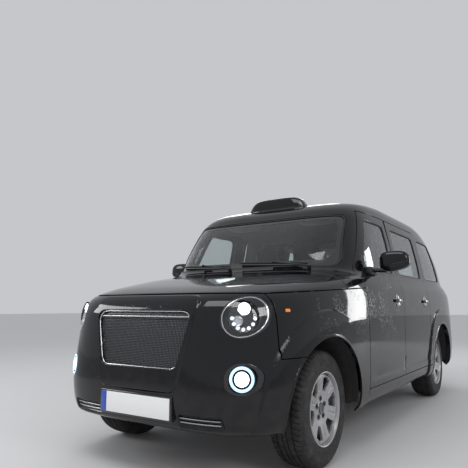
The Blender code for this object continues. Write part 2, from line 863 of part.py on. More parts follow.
def hinge_notches(front_y, low, high):
    """Round notches that clear knuckles between two distances along the axis."""
    x = door_axis_x(front_y)
    radius = KNUCKLE_RADIUS + SEAT_GAP * 2
    return [
        knuckle((x, front_y, z), (0, 0, 1), low, high, radius) for z in DOOR_HINGE_HEIGHTS
    ]


def bonnet_axis():
    """Where the bonnet's hinge line runs, in side view: on the skin at its rear edge."""
    y = BONNET_REAR_Y + SHUT_GAP / 2
    form = bpy.data.objects["outer_form"]
    _, place, _, _ = form.ray_cast(Vector((0, y, ROOF_HEIGHT)), Vector((0, 0, -1)))
    return y, place.z


def tailgate_axis():
    """Where the tailgate's hinge line runs, in side view: on the skin at its top edge."""
    z = TAILGATE_TOP_Z + SHUT_GAP / 2
    form = bpy.data.objects["outer_form"]
    _, place, _, _ = form.ray_cast(
        Vector((TAILGATE_HINGE_X, TAIL_Y + OVERRUN, z)), Vector((0, -1, 0))
    )
    return place.y, z


def lid_knuckles(hinge_x, y, z, way, toward):
    """A lid's knuckles, inboard (way 1) or outboard (-1) of each hinge, with a leaf each."""
    made = []
    for side in SIDES.values():
        low = side * hinge_x + (SEAT_GAP if way * side > 0 else -LID_KNUCKLE_LENGTH)
        high = low + LID_KNUCKLE_LENGTH - SEAT_GAP
        barrel = knuckle((0, y, z), (1, 0, 0), low, high)
        reach = Vector(toward) * (SHUT_GAP * 2)
        inward = Vector((0, 0, 0))
        corners = [Vector((low, y, z)), Vector((high, y, z)) + reach + inward]
        half = HINGE_PLATE / 2
        thick = Vector((0, 0, half)) if toward[2] == 0 else Vector((0, half, 0))
        first = Vector([min(a, b) for a, b in zip(*corners)]) - thick * 2
        last = Vector([max(a, b) for a, b in zip(*corners)])
        made.append(join(barrel, box(first, last)))
    return made


def lid_notches(hinge_x, y, z, way):
    """Round notches for the other panel's knuckles."""
    made = []
    for side in SIDES.values():
        low = side * hinge_x + (0.0 if way * side > 0 else -LID_KNUCKLE_LENGTH)
        made.append(
            knuckle(
                (0, y, z),
                (1, 0, 0),
                low - SEAT_GAP,
                low + LID_KNUCKLE_LENGTH + SEAT_GAP,
                KNUCKLE_RADIUS + SEAT_GAP * 2,
            )
        )
    return made


# Panels


def make_front_bumper(outer, inner):
    """The one-piece nose: bumper, lamp panel and grille surround."""
    top_z = SHOULDER_FRONT_Z - SHUT_GAP
    outline = [
        (NOSE_Y - OVERRUN, FLOOR_Z - OVERRUN * 2),
        (FRONT_AXLE_Y, FLOOR_Z - OVERRUN * 2),
        (FRONT_AXLE_Y, BUMPER_TOP_Z - SEAT_GAP),
        (WING_FRONT_Y - SEAT_GAP, BUMPER_TOP_Z - SEAT_GAP),
        (WING_FRONT_Y - SEAT_GAP, top_z),
        (NOSE_Y - OVERRUN, top_z),
    ]
    wide = HALF_WIDTH + OVERRUN
    panel = meet(copy(outer), prism(outline, -wide, wide, "X"))
    pad = box(
        (-PLATE_WIDTH / 2, NOSE_Y - PLATE_PROUD, PLATE_Z - PLATE_HEIGHT / 2),
        (PLATE_WIDTH / 2, NOSE_Y + SHELL_WALL / 2, PLATE_Z + PLATE_HEIGHT / 2),
    )
    panel = join(panel, pad)
    panel = cut(panel, copy(inner))
    panel = cut(panel, front_prism(grille_outline(), GRILLE_CORNER))
    for side in SIDES.values():
        for x, z, radius in (
            (HEADLAMP_X, HEADLAMP_Z, HEADLAMP_RADIUS),
            (FOG_X, FOG_Z, FOG_RADIUS),
        ):
            hole = cylinder(
                (side * x, NOSE_Y - OVERRUN, z), (side * x, WING_FRONT_Y + OVERRUN, z), radius, steps=24
            )
            panel = cut(panel, hole)
        panel = cut(panel, arch_cutter(FRONT_AXLE_Y, side, FRONT_LINER_X))
    return keep(panel, "front_bumper", "black_paint")


def make_lamp(name, x, z, radius, side, depth_inset):
    """A round lamp unit, flush with the nose and as deep as its inset."""
    body = cylinder(
        (x, NOSE_Y - OVERRUN, z),
        (x, WING_FRONT_Y - SEAT_GAP * 2, z),
        radius - SEAT_GAP,
        steps=24,
    )
    body = meet(body, body_form())
    body = cut(body, body_form(depth_inset, open_below=True))
    return keep(mirrored_away(body, side), name, "lamp_lens")


def make_grille():
    """A recessed panel with cross bars, seated in the nose's opening."""
    outline = grille_outline(-SEAT_GAP)
    panel = meet(
        front_prism(outline, GRILLE_CORNER), skin_layer(GRILLE_RECESS, GRILLE_RECESS + GRILLE_DEPTH)
    )
    layer = skin_layer(GRILLE_RECESS - GRILLE_BAR_PROUD, GRILLE_RECESS + GRILLE_DEPTH / 2)
    height = GRILLE_TOP_Z - GRILLE_BOTTOM_Z
    count = int(height / GRILLE_BAR_PITCH)
    wide = front_prism(offset_outline(outline, -GRILLE_CORNER * 0.4), GRILLE_CORNER)
    layer = meet(layer, wide)
    bars = None
    for i in range(1, count):
        z = GRILLE_BOTTOM_Z + height * i / count
        bar = box(
            (-GRILLE_TOP_X, NOSE_Y - OVERRUN, z - GRILLE_BAR_HEIGHT / 2),
            (GRILLE_TOP_X, WING_FRONT_Y, z + GRILLE_BAR_HEIGHT / 2),
        )
        bars = join(bars, bar) if bars else bar
    panel = join(panel, meet(layer, bars))
    return keep(panel, "grille", "grille_mesh")


def make_wing(name, side, outer, inner):
    """A front wing with its half of the wheel arch."""
    panel = meet(copy(outer), side_prism(wing_outline(), 1, FRONT_LINER_X))
    panel = cut(panel, copy(inner), arch_cutter(FRONT_AXLE_Y, 1, FRONT_LINER_X - OVERRUN))
    notches = hinge_notches(DOOR_FRONT_Y, -KNUCKLE_HEIGHT - SHUT_GAP, KNUCKLE_HEIGHT + SHUT_GAP)
    panel = cut(panel, *notches)
    return keep(mirrored_away(panel, side), name, "black_paint")


def make_bonnet(outer, inner):
    """The clamshell bonnet, with its half of each hinge at its rear edge."""
    panel = cut(meet(copy(outer), bonnet_space()), copy(inner))
    y, z = bonnet_axis()
    panel = cut(panel, *lid_notches(BONNET_HINGE_X, y, z, -1))
    panel = join(panel, *lid_knuckles(BONNET_HINGE_X, y, z, 1, (0, -1, 0)))
    return keep(panel, "bonnet", "black_paint", (0, y, z))


def door_space(outline):
    """All that a door on the left takes out of the body, with its running clearance."""
    space = side_prism(outline, 1, HALF_WIDTH / 2)
    return cut(
        space,
        body_form(DOOR_WALL + SHUT_GAP, DOOR_FRAME_WALL + SHUT_GAP, open_below=True),
    )


def rear_arch_space(grow):
    return cylinder(
        (HALF_WIDTH / 2, REAR_AXLE_Y, AXLE_Z),
        (HALF_WIDTH + OVERRUN, REAR_AXLE_Y, AXLE_Z),
        ARCH_RADIUS + SHELL_WALL + grow,
        steps=36,
    )


def make_door(name, side, outline, window, front_y, trims):
    """A door as one hollow-framed panel, with its window cut and its hinge knuckles on."""
    panel = meet(side_prism(outline, 1, HALF_WIDTH / 2), body_form())
    panel = cut(
        panel,
        body_form(DOOR_WALL, DOOR_FRAME_WALL, open_below=True),
        window_prism(window, HALF_WIDTH / 2, HALF_WIDTH + OVERRUN, "X"),
        *trims,
        *hinge_notches(front_y, -KNUCKLE_HEIGHT - SEAT_GAP * 2, 0.0),
    )
    panel = join(panel, *door_hinge_knuckles(front_y))
    axis = (side * door_axis_x(front_y), front_y, 0)
    return keep(mirrored_away(panel, side), name, "black_paint", axis)


def make_side_glass(name, side, window, origin):
    """A pane that fills its window, curved like the body's side."""
    pane = meet(
        window_prism(window, HALF_WIDTH / 2, HALF_WIDTH + OVERRUN, "X"),
        skin_layer(GLASS_RECESS, GLASS_RECESS + GLASS_THICKNESS),
    )
    return keep(mirrored_away(pane, side), name, "tinted_glass", origin)


def make_tailgate(outer, inner):
    """The tailgate from the bumper to the roof, with its window cut and its plate seat."""
    panel = meet(copy(outer), rear_prism(tailgate_outline()))
    pad = box(
        (-PLATE_WIDTH / 2, TAIL_Y * 0.98, REAR_PLATE_Z - PLATE_HEIGHT / 2),
        (PLATE_WIDTH / 2, TAIL_Y, REAR_PLATE_Z + PLATE_HEIGHT / 2),
    )
    panel = cut(join(panel, pad), copy(inner), rear_prism(rear_window_outline()))
    y, z = tailgate_axis()
    panel = cut(panel, *lid_notches(TAILGATE_HINGE_X, y, z, -1))
    panel = join(panel, *lid_knuckles(TAILGATE_HINGE_X, y, z, 1, (0, 0, -1)))
    return keep(panel, "tailgate", "black_paint", (0, y, z))


def tail_lamp_outline(grow=0.0):
    outer_x = HALF_WIDTH + OVERRUN
    return offset_outline(
        [
            (TAIL_LAMP_INNER_X, TAIL_LAMP_BOTTOM_Z),
            (outer_x, TAIL_LAMP_BOTTOM_Z),
            (outer_x, TAIL_LAMP_TOP_Z),
            (TAIL_LAMP_INNER_X, TAIL_LAMP_TOP_Z),
        ],
        grow,
    )


TAIL_LAMP_FRONT_Y = 2.080


def tail_lamp_space(grow=0.0):
    return prism(tail_lamp_outline(grow), TAIL_LAMP_FRONT_Y - grow, TAIL_Y + OVERRUN, "Y")


def make_tail_lamp(name, side):
    lamp = meet(tail_lamp_space(), body_form())
    lamp = cut(lamp, body_form(LAMP_DEPTH, open_below=True))
    return keep(mirrored_away(lamp, side), name, "red_lens")


def rear_bumper_outline(grow=0.0):
    return [
        (REAR_BUMPER_FRONT_Y - grow, FLOOR_Z - OVERRUN * 2),
        (TAIL_Y + OVERRUN, FLOOR_Z - OVERRUN * 2),
        (TAIL_Y + OVERRUN, REAR_BUMPER_TOP_Z + grow),
        (REAR_BUMPER_FRONT_Y - grow, REAR_BUMPER_TOP_Z + grow),
    ]


def make_rear_bumper(outer, inner):
    wide = HALF_WIDTH + OVERRUN
    panel = meet(copy(outer), prism(rear_bumper_outline(), -wide, wide, "X"))
    return keep(cut(panel, copy(inner)), "rear_bumper", "black_paint")


PILLAR_HALF = 0.055


def make_body_shell(outer):
    """Roof, pillars, sills, rear quarters and bulkhead, with every opening cut."""
    hollow = body_form(SHELL_WALL, open_below=True)
    hinge_y = DOOR_MIDDLE_Y - HINGE_LINE_GAP / 2
    under = FLOOR_Z - OVERRUN / 2
    roof_z = ROOF_HEIGHT * 0.975
    sill_rear_y = REAR_AXLE_Y - ARCH_RADIUS - LINER_WALL - FIT_GAP
    wide = HALF_WIDTH + OVERRUN
    thick = body_form(PILLAR_WALL, open_below=True)
    for low_y, high_y, low_z, high_z in (
        (hinge_y - PILLAR_HALF, hinge_y + PILLAR_HALF, under, roof_z),
        (BULKHEAD_Y, DOOR_FRONT_Y + PILLAR_HALF, under, SHOULDER_REAR_Z),
        (DOOR_REAR_Y - PILLAR_HALF, DOOR_REAR_Y + PILLAR_HALF, REAR_FLOOR_Z + SEAT_GAP, roof_z),
        (DOOR_FRONT_Y, sill_rear_y, under - SHELL_WALL / 3, SILL_TOP_Z),
    ):
        space = box((-wide, low_y, low_z), (wide, high_y, high_z))
        hollow = carve(hollow, carve(space, copy(thick)))
    bpy.data.objects.remove(thick)
    bulkhead = box(
        (-wide, BULKHEAD_Y, FLOOR_Z + FLOOR_THICKNESS + SEAT_GAP),
        (wide, BULKHEAD_Y + BULKHEAD_THICKNESS, BULKHEAD_TOP_Z),
    )
    void = carve(hollow, bulkhead)
    wing_top = SHOULDER_REAR_Z - SHUT_GAP + SEAT_GAP
    nose = box(
        (-wide, NOSE_Y - OVERRUN, FLOOR_Z - OVERRUN * 3), (wide, BULKHEAD_Y - SEAT_GAP, wing_top)
    )
    wing_seat = box(
        (-wide, BULKHEAD_Y - SHUT_GAP, FLOOR_Z - OVERRUN * 3),
        (wide, DOOR_FRONT_Y - SHUT_GAP + SEAT_GAP, wing_top),
    )
    wing_seat = cut(wing_seat, body_form(SHELL_WALL + FIT_GAP, open_below=True))
    void = weld(void, bonnet_space(SHUT_GAP), nose, wing_seat)
    for side in SIDES.values():
        front = door_space(front_door_outline(SHUT_GAP))
        rear = cut(door_space(rear_door_outline(SHUT_GAP)), rear_arch_space(-SHUT_GAP))
        glass = window_prism(quarter_window(), HALF_WIDTH / 2, wide, "X")
        void = weld(
            void,
            mirrored_away(front, side),
            mirrored_away(rear, side),
            mirrored_away(glass, side),
            mirrored_away(tail_lamp_space(SEAT_GAP), side),
            arch_cutter(REAR_AXLE_Y, side, REAR_LINER_X - OVERRUN),
        )
    void = weld(
        void,
        prism(rear_bumper_outline(SEAT_GAP), -wide, wide, "X"),
        rear_prism(tailgate_outline(SHUT_GAP)),
        screen_prism(),
    )
    shell = cut(copy(outer), void)
    for side in SIDES.values():
        for front_y in (DOOR_FRONT_Y, DOOR_MIDDLE_Y):
            for leaf in body_hinge_knuckles(front_y):
                shell = weld(shell, mirrored_away(leaf, side))
    y, z = bonnet_axis()
    shell = carve(shell, *lid_notches(BONNET_HINGE_X, y, z, 1))
    shell = weld(shell, *lid_knuckles(BONNET_HINGE_X, y, z, -1, (0, 1, 0)))
    y, z = tailgate_axis()
    shell = carve(shell, *lid_notches(TAILGATE_HINGE_X, y, z, 1))
    shell = weld(shell, *lid_knuckles(TAILGATE_HINGE_X, y, z, -1, (0, 0, 1)))
    return keep(shell, "body_shell", "black_paint")


# Floor and chassis


def make_liner(axle_y, side, inner_x, opening_z):
    """A wheel house: a drum over the wheel with an inner wall above its opening."""
    outer_x = HALF_WIDTH
    drum = cylinder(
        (side * inner_x, axle_y, AXLE_Z),
        (side * outer_x, axle_y, AXLE_Z),
        ARCH_RADIUS + LINER_WALL,
        steps=24,
    )
    hollow = cylinder(
        (side * (inner_x + LINER_WALL), axle_y, AXLE_Z),
        (side * (outer_x + OVERRUN), axle_y, AXLE_Z),
        ARCH_RADIUS,
        steps=24,
    )
    low, high = sorted((side * (inner_x - OVERRUN), side * (inner_x + LINER_WALL * 3)))
    opening = box(
        (low, axle_y - ARCH_RADIUS * 2, 0),
        (high, axle_y + ARCH_RADIUS * 2, opening_z),
    )
    low, high = sorted((side * inner_x * 0.9, side * (outer_x + OVERRUN)))
    below = box((low, axle_y - ARCH_RADIUS * 2, -OVERRUN), (high, axle_y + ARCH_RADIUS * 2, LINER_BOTTOM_Z))
    drum = cut(drum, hollow, opening, below)
    return meet(drum, body_form(SHELL_WALL + FIT_GAP, open_below=True))


def make_floor_pan():
    """The floor, its step, the chassis legs and the four wheel houses as one pressing."""
    top = FLOOR_Z + FLOOR_THICKNESS
    wide = HALF_WIDTH
    inside = body_form(PILLAR_WALL + FIT_GAP, open_below=True)
    cabin = meet(box((-wide, BULKHEAD_Y - SEAT_GAP * 2, FLOOR_Z), (wide, RISER_Y, top)), copy(inside))
    apron = box(
        (-APRON_X, BULKHEAD_Y - APRON_DEPTH, FLOOR_Z), (APRON_X, BULKHEAD_Y + OVERRUN, top)
    )
    riser = box(
        (-REAR_LINER_X - LINER_WALL, RISER_Y - FLOOR_THICKNESS, FLOOR_Z),
        (REAR_LINER_X + LINER_WALL, RISER_Y, REAR_FLOOR_Z),
    )
    boot = box(
        (-wide, RISER_Y - FLOOR_THICKNESS * 0.9, REAR_FLOOR_Z - FLOOR_THICKNESS),
        (wide, TAIL_Y, REAR_FLOOR_Z),
    )
    boot = meet(boot, copy(inside))
    bpy.data.objects.remove(inside)
    pan = join(cabin, apron, riser, boot)
    for side in SIDES.values():
        for axle_y, inner_x in ((REAR_AXLE_Y, REAR_LINER_X),):
            well = cylinder(
                (side * (inner_x + LINER_WALL / 2), axle_y, AXLE_Z),
                (side * (wide + OVERRUN), axle_y, AXLE_Z),
                ARCH_RADIUS + LINER_WALL / 2,
                steps=24,
            )
            pan = cut(pan, well)
        low, high = sorted((side * LEG_INNER_X, side * LEG_OUTER_X))
        leg = box((low, LEG_FRONT_Y, LEG_BOTTOM_Z), (high, BULKHEAD_Y - SHUT_GAP, LEG_TOP_Z))
        drop = box(
            (low, BULKHEAD_Y - APRON_DEPTH * 0.9, FLOOR_Z + FLOOR_THICKNESS / 2),
            (high, BULKHEAD_Y - SHUT_GAP * 1.5, LEG_TOP_Z - LINER_WALL),
        )
        pan = join(pan, leg, drop)
        pan = join(pan, make_liner(FRONT_AXLE_Y, side, FRONT_LINER_X, LEG_BOTTOM_Z + LINER_WALL))
        pan = join(pan, make_liner(REAR_AXLE_Y, side, REAR_LINER_X, REAR_FLOOR_Z - FLOOR_THICKNESS / 2))
    return keep(pan, "floor_pan", "chassis_steel")


# Wheels, axles and steering


def turned(profile, axle_y, side, steps=24):
    """A ring turned about the wheel's axle from (x, radius) points on its left side."""
    bm = bmesh.new()
    rings = []
    for i in range(steps):
        angle = 2 * math.pi * i / steps
        rings.append(
            [
                bm.verts.new((side * x, axle_y + r * math.cos(angle), AXLE_Z + r * math.sin(angle)))
                for x, r in profile
            ]
        )
    for i in range(steps):
        here, there = rings[i], rings[(i + 1) % steps]
        for j in range(len(profile)):
            k = (j + 1) % len(profile)
            bm.faces.new((here[j], here[k], there[k], there[j]))
    return solid(bm)


def make_tyre(name, axle_y, side):
    inner, outer = WHEEL_X - TYRE_WIDTH / 2, WHEEL_X + TYRE_WIDTH / 2
    seat = RIM_RADIUS + SEAT_GAP
    profile = [
        (inner, seat),
        (outer, seat),
        (outer, TYRE_RADIUS - TYRE_SHOULDER),
        (outer - TYRE_SHOULDER, TYRE_RADIUS),
        (inner + TYRE_SHOULDER, TYRE_RADIUS),
        (inner, TYRE_RADIUS - TYRE_SHOULDER),
    ]
    tyre = turned(profile, axle_y, side, steps=28)
    return keep(tyre, name, "tyre_rubber", (side * WHEEL_X, axle_y, AXLE_Z))


def make_rim(name, axle_y, side):
    """A wheel: a barrel, and a face with windows between its spokes."""
    inner, outer = WHEEL_X - TYRE_WIDTH / 2, WHEEL_X + TYRE_WIDTH / 2
    barrel = RIM_RADIUS - RIM_WALL
    face_in = outer - RIM_FACE_DEPTH - RIM_FACE_THICKNESS
    face_out = outer - RIM_FACE_DEPTH
    profile = [(inner, RIM_RADIUS), (outer, RIM_RADIUS), (outer, barrel), (inner, barrel)]
    rim = turned(profile, axle_y, side, steps=28)
    disc = cylinder(
        (side * face_in, axle_y, AXLE_Z), (side * face_out, axle_y, AXLE_Z), barrel + RIM_WALL / 2, steps=28
    )
    for i in range(RIM_SPOKES):
        angle = 2 * math.pi * (i + 0.5) / RIM_SPOKES + math.pi / 2
        y = axle_y + RIM_WINDOW_CIRCLE * math.cos(angle)
        z = AXLE_Z + RIM_WINDOW_CIRCLE * math.sin(angle)
        window = cylinder(
            (side * (face_in - OVERRUN), y, z), (side * (face_out + OVERRUN), y, z), RIM_WINDOW_RADIUS, steps=16
        )
        disc = cut(disc, window)
    rim = join(rim, disc)
    return keep(rim, name, "wheel_alloy", (side * WHEEL_X, axle_y, AXLE_Z))


def hub_face_x():
    """The back of the wheel's face, where its hub flange sits."""
    return WHEEL_X + TYRE_WIDTH / 2 - RIM_FACE_DEPTH - RIM_FACE_THICKNESS - SEAT_GAP


def make_knuckle(name, side):
    """A kingpin with the stub axle and the flange that carries the wheel."""
    pin = cylinder(
        (KINGPIN_X, FRONT_AXLE_Y, AXLE_Z - KINGPIN_HALF_HEIGHT - ARM_THICKNESS),
        (KINGPIN_X, FRONT_AXLE_Y, AXLE_Z + KINGPIN_HALF_HEIGHT + ARM_THICKNESS),
        KINGPIN_RADIUS,
        steps=KINGPIN_STEPS,
    )
    upright = box(
        (KINGPIN_X - KINGPIN_RADIUS * 1.4, FRONT_AXLE_Y - KINGPIN_RADIUS * 1.5, AXLE_Z - UPRIGHT_HALF_HEIGHT),
        (KINGPIN_X + KINGPIN_RADIUS * 1.4, FRONT_AXLE_Y + KINGPIN_RADIUS * 1.5, AXLE_Z + UPRIGHT_HALF_HEIGHT),
    )
    face = hub_face_x()
    stub = cylinder((KINGPIN_X, FRONT_AXLE_Y, AXLE_Z), (face - HUB_FLANGE_THICKNESS / 2, FRONT_AXLE_Y, AXLE_Z), STUB_RADIUS)
    flange = cylinder((face - HUB_FLANGE_THICKNESS, FRONT_AXLE_Y, AXLE_Z), (face, FRONT_AXLE_Y, AXLE_Z), HUB_FLANGE_RADIUS)
    made = join(pin, upright, stub, flange)
    return keep(mirrored_away(made, side), name, "chassis_steel", (side * KINGPIN_X, FRONT_AXLE_Y, 0))


def make_front_subframe():
    """A cross member with a tower and two arms each side that hold the kingpins."""
    frame = box(
        (-LEG_OUTER_X + LINER_WALL, FRONT_AXLE_Y - CROSSMEMBER_DEPTH / 2, CROSSMEMBER_BOTTOM_Z),
        (LEG_OUTER_X - LINER_WALL, FRONT_AXLE_Y + CROSSMEMBER_DEPTH / 2, CROSSMEMBER_TOP_Z),
    )
    for side in SIDES.values():
        low, high = sorted((side * LEG_INNER_X, side * (LEG_OUTER_X - LINER_WALL * 1.5)))
        tower = box(
            (low, FRONT_AXLE_Y - CROSSMEMBER_DEPTH / 3, CROSSMEMBER_BOTTOM_Z + ARM_THICKNESS / 2),
            (high, FRONT_AXLE_Y + CROSSMEMBER_DEPTH / 3, LEG_BOTTOM_Z - SEAT_GAP),
        )
        frame = join(frame, tower)
        for way in (1, -1):
            z = AXLE_Z + way * KINGPIN_HALF_HEIGHT
            near, far = z - ARM_THICKNESS / 2, z + ARM_THICKNESS / 2
            low, high = sorted((side * (LEG_INNER_X + LINER_WALL), side * KINGPIN_X))
            arm = box((low, FRONT_AXLE_Y - ARM_HALF_WIDTH, near), (high, FRONT_AXLE_Y + ARM_HALF_WIDTH, far))
            eye = cylinder(
                (side * KINGPIN_X, FRONT_AXLE_Y, near - SEAT_GAP),
                (side * KINGPIN_X, FRONT_AXLE_Y, far + SEAT_GAP),
                KINGPIN_RADIUS * 1.7,
                steps=12,
            )
            frame = join(frame, arm, eye)
        hole = cylinder(
            (side * KINGPIN_X, FRONT_AXLE_Y, 0),
            (side * KINGPIN_X, FRONT_AXLE_Y, AXLE_Z * 2),
            (KINGPIN_RADIUS + SEAT_GAP) / math.cos(math.pi / KINGPIN_STEPS),
            steps=KINGPIN_STEPS,
        )
        frame = cut(frame, hole)
    return keep(frame, "front_subframe", "chassis_steel")


def make_rear_axle():
    """A beam axle with its differential, hub flanges and a spring seat under the floor."""
    face = hub_face_x()
    beam = cylinder((-face + HUB_FLANGE_THICKNESS / 2, REAR_AXLE_Y, AXLE_Z), (face - HUB_FLANGE_THICKNESS / 2, REAR_AXLE_Y, AXLE_Z), AXLE_TUBE_RADIUS)
    drum = cylinder((-DIFFERENTIAL_RADIUS, REAR_AXLE_Y, AXLE_Z), (DIFFERENTIAL_RADIUS, REAR_AXLE_Y, AXLE_Z), DIFFERENTIAL_RADIUS)
    beam = join(beam, drum)
    for side in SIDES.values():
        flange = cylinder((side * (face - HUB_FLANGE_THICKNESS), REAR_AXLE_Y, AXLE_Z), (side * face, REAR_AXLE_Y, AXLE_Z), HUB_FLANGE_RADIUS)
        spring = cylinder(
            (side * DAMPER_X, REAR_AXLE_Y, AXLE_Z),
            (side * DAMPER_X, REAR_AXLE_Y, REAR_FLOOR_Z - FLOOR_THICKNESS - SEAT_GAP),
            DAMPER_RADIUS,
        )
        beam = join(beam, flange, spring)
    return keep(beam, "rear_axle", "chassis_steel")


def make_engine():
    block = rounded_box(
        (-ENGINE_WIDTH / 2, ENGINE_FRONT_Y, CROSSMEMBER_TOP_Z + SEAT_GAP),
        (ENGINE_WIDTH / 2, ENGINE_REAR_Y, CROSSMEMBER_TOP_Z + ENGINE_HEIGHT),
        LINER_WALL,
    )
    return keep(block, "engine_block", "chassis_steel")


# Mirrors and roof sign


def make_mirror(name, side):
    """A door mirror: its housing on an arm that springs from the door's front corner."""
    housing = rounded_box(
        (MIRROR_INNER_X, MIRROR_Y - MIRROR_DEPTH / 2, MIRROR_Z - MIRROR_HEIGHT / 2),
        (MIRROR_OUTER_X, MIRROR_Y + MIRROR_DEPTH / 2, MIRROR_Z + MIRROR_HEIGHT / 2),
        MIRROR_DEPTH * 0.3,
        segments=3,
    )
    arm_z = MIRROR_Z - MIRROR_HEIGHT / 2 + MIRROR_ARM * 0.3
    arm = rounded_box(
        (MIRROR_ROOT_X, MIRROR_Y - MIRROR_ARM, arm_z - MIRROR_ARM / 2),
        (MIRROR_INNER_X + MIRROR_DEPTH / 2, MIRROR_Y + MIRROR_ARM, arm_z + MIRROR_ARM / 2),
        MIRROR_ARM * 0.3,
    )
    made = cut(join(housing, arm), body_form(-SEAT_GAP * 2))
    axis = (side * door_axis_x(DOOR_FRONT_Y), DOOR_FRONT_Y, 0)
    return keep(mirrored_away(made, side), name, "black_paint", axis)


def make_roof_sign():
    """A blank pod that sits on the front of the roof."""
    low_z = SIGN_TOP_Z - SIGN_DEPTH
    top = SIGN_WIDTH / 2 * SIGN_TOP_WIDTH_SHARE
    outline = [
        (-SIGN_WIDTH / 2, low_z),
        (SIGN_WIDTH / 2, low_z),
        (SIGN_WIDTH / 2, SIGN_TOP_Z - SIGN_ROUNDING * 1.6),
        (top, SIGN_TOP_Z),
        (-top, SIGN_TOP_Z),
        (-SIGN_WIDTH / 2, SIGN_TOP_Z - SIGN_ROUNDING * 1.6),
    ]
    pod = prism(
        rounded_outline(outline, SIGN_ROUNDING), SIGN_Y - SIGN_DEPTH / 2, SIGN_Y + SIGN_DEPTH / 2, "Y"
    )
    return keep(cut(pod, body_form(-SEAT_GAP * 2)), "roof_sign", "sign_black")


# Cabin


def make_dashboard():
    """The dashboard behind the bulkhead, with its shelf under the windscreen and the column."""
    wide = HALF_WIDTH
    behind = BULKHEAD_Y + BULKHEAD_THICKNESS + SEAT_GAP
    profile = [
        (behind, DASH_BOTTOM_Z),
        (DASH_REAR_Y - DASH_NOSE, DASH_BOTTOM_Z),
        (DASH_REAR_Y, DASH_TOP_Z - DASH_NOSE * 2),
        (DASH_REAR_Y - DASH_NOSE * 0.4, DASH_TOP_Z),
        (behind, DASH_SHELF_Z - SEAT_GAP * 3),
    ]
    main_body = prism(profile, -wide, wide, "X")
    main_body = meet(main_body, body_form(PILLAR_WALL + SIDE_GAP, open_below=True))
    shelf = box(
        (-wide, DASH_SHELF_FRONT_Y, SHOULDER_REAR_Z + SHUT_GAP), (wide, behind + SHUT_GAP, DASH_SHELF_Z)
    )
    shelf = meet(shelf, body_form(SHELL_WALL + FIT_GAP * 2, open_below=True))
    axis = steering_axis()
    centre = Vector((DRIVER_X, STEERING_Y, STEERING_Z))
    column = cylinder(centre - axis * (COLUMN_GAP + SEAT_GAP), centre - axis * COLUMN_LENGTH, COLUMN_RADIUS)
    return keep(join(main_body, shelf, column), "dashboard", "black_plastic")


def steering_axis():
    """The way that the steering column points, up and back to the driver."""
    tilt = math.radians(STEERING_TILT_DEG)
    return Vector((0, math.cos(tilt), math.sin(tilt)))


def make_steering_wheel():
    """A rim, three flat spokes and a hub, about the column's axis."""
    bm = bmesh.new()
    rings = []
    for i in range(STEERING_STEPS):
        angle = 2 * math.pi * i / STEERING_STEPS
        ring = []
        for j in range(STEERING_SIDES):
            turn = 2 * math.pi * j / STEERING_SIDES
            reach = STEERING_RADIUS - STEERING_RIM + STEERING_RIM * math.cos(turn)
            ring.append(
                bm.verts.new(
                    (reach * math.cos(angle), reach * math.sin(angle), STEERING_RIM * math.sin(turn))
                )
            )
        rings.append(ring)
    for i in range(STEERING_STEPS):
        here, there = rings[i], rings[(i + 1) % STEERING_STEPS]
        for j in range(STEERING_SIDES):
            bm.faces.new((here[j], there[j], there[(j + 1) % STEERING_SIDES], here[(j + 1) % STEERING_SIDES]))
    wheel = solid(bm)
    reach = STEERING_RADIUS - STEERING_RIM
    wheel = join(wheel, cylinder((0, 0, -COLUMN_GAP), (0, 0, STEERING_RIM), COLUMN_RADIUS * 1.5))
    for angle in STEERING_SPOKES_DEG:
        spoke = box(
            (0, -STEERING_RIM * 1.2, -STEERING_RIM * 0.6), (reach, STEERING_RIM * 1.2, STEERING_RIM * 0.6)
        )
        spoke.data.transform(Matrix.Rotation(math.radians(angle), 4, "Z"))
        wheel = join(wheel, spoke)
    centre = (DRIVER_X, STEERING_Y, STEERING_Z)
    turn = steering_axis().to_track_quat("Z", "Y").to_matrix().to_4x4()
    wheel.data.transform(Matrix.Translation(centre) @ turn)
    return keep(wheel, "steering_wheel", "black_plastic", centre)


def make_driver_seat():
    floor = FLOOR_Z + FLOOR_THICKNESS + SEAT_GAP
    left, right = DRIVER_X - SEAT_WIDTH / 2, DRIVER_X + SEAT_WIDTH / 2
    rear_y = SEAT_FRONT_Y + SEAT_DEPTH
    top = floor + SEAT_HEIGHT
    rounding = SEAT_BACK_THICKNESS * 0.25
    base = box(
        (left + rounding * 2, SEAT_FRONT_Y + rounding * 3, floor),
        (right - rounding * 2, rear_y - rounding, top - rounding * 2),
    )
    cushion = rounded_box(
        (left, SEAT_FRONT_Y, top - SEAT_CUSHION), (right, rear_y - rounding, top), rounding
    )
    back = rounded_box(
        (left + rounding, rear_y - SEAT_BACK_THICKNESS, top - rounding * 2),
        (right - rounding, rear_y, top + SEAT_BACK_HEIGHT),
        rounding,
    )
    head = rounded_box(
        (DRIVER_X - HEADREST_WIDTH / 2, rear_y - SEAT_BACK_THICKNESS * 0.8, top + SEAT_BACK_HEIGHT - rounding * 0.6),
        (DRIVER_X + HEADREST_WIDTH / 2, rear_y - rounding * 0.3, top + SEAT_BACK_HEIGHT + HEADREST_HEIGHT),
        rounding,
    )
    return keep(join(base, cushion, back, head), "driver_seat", "seat_cloth")


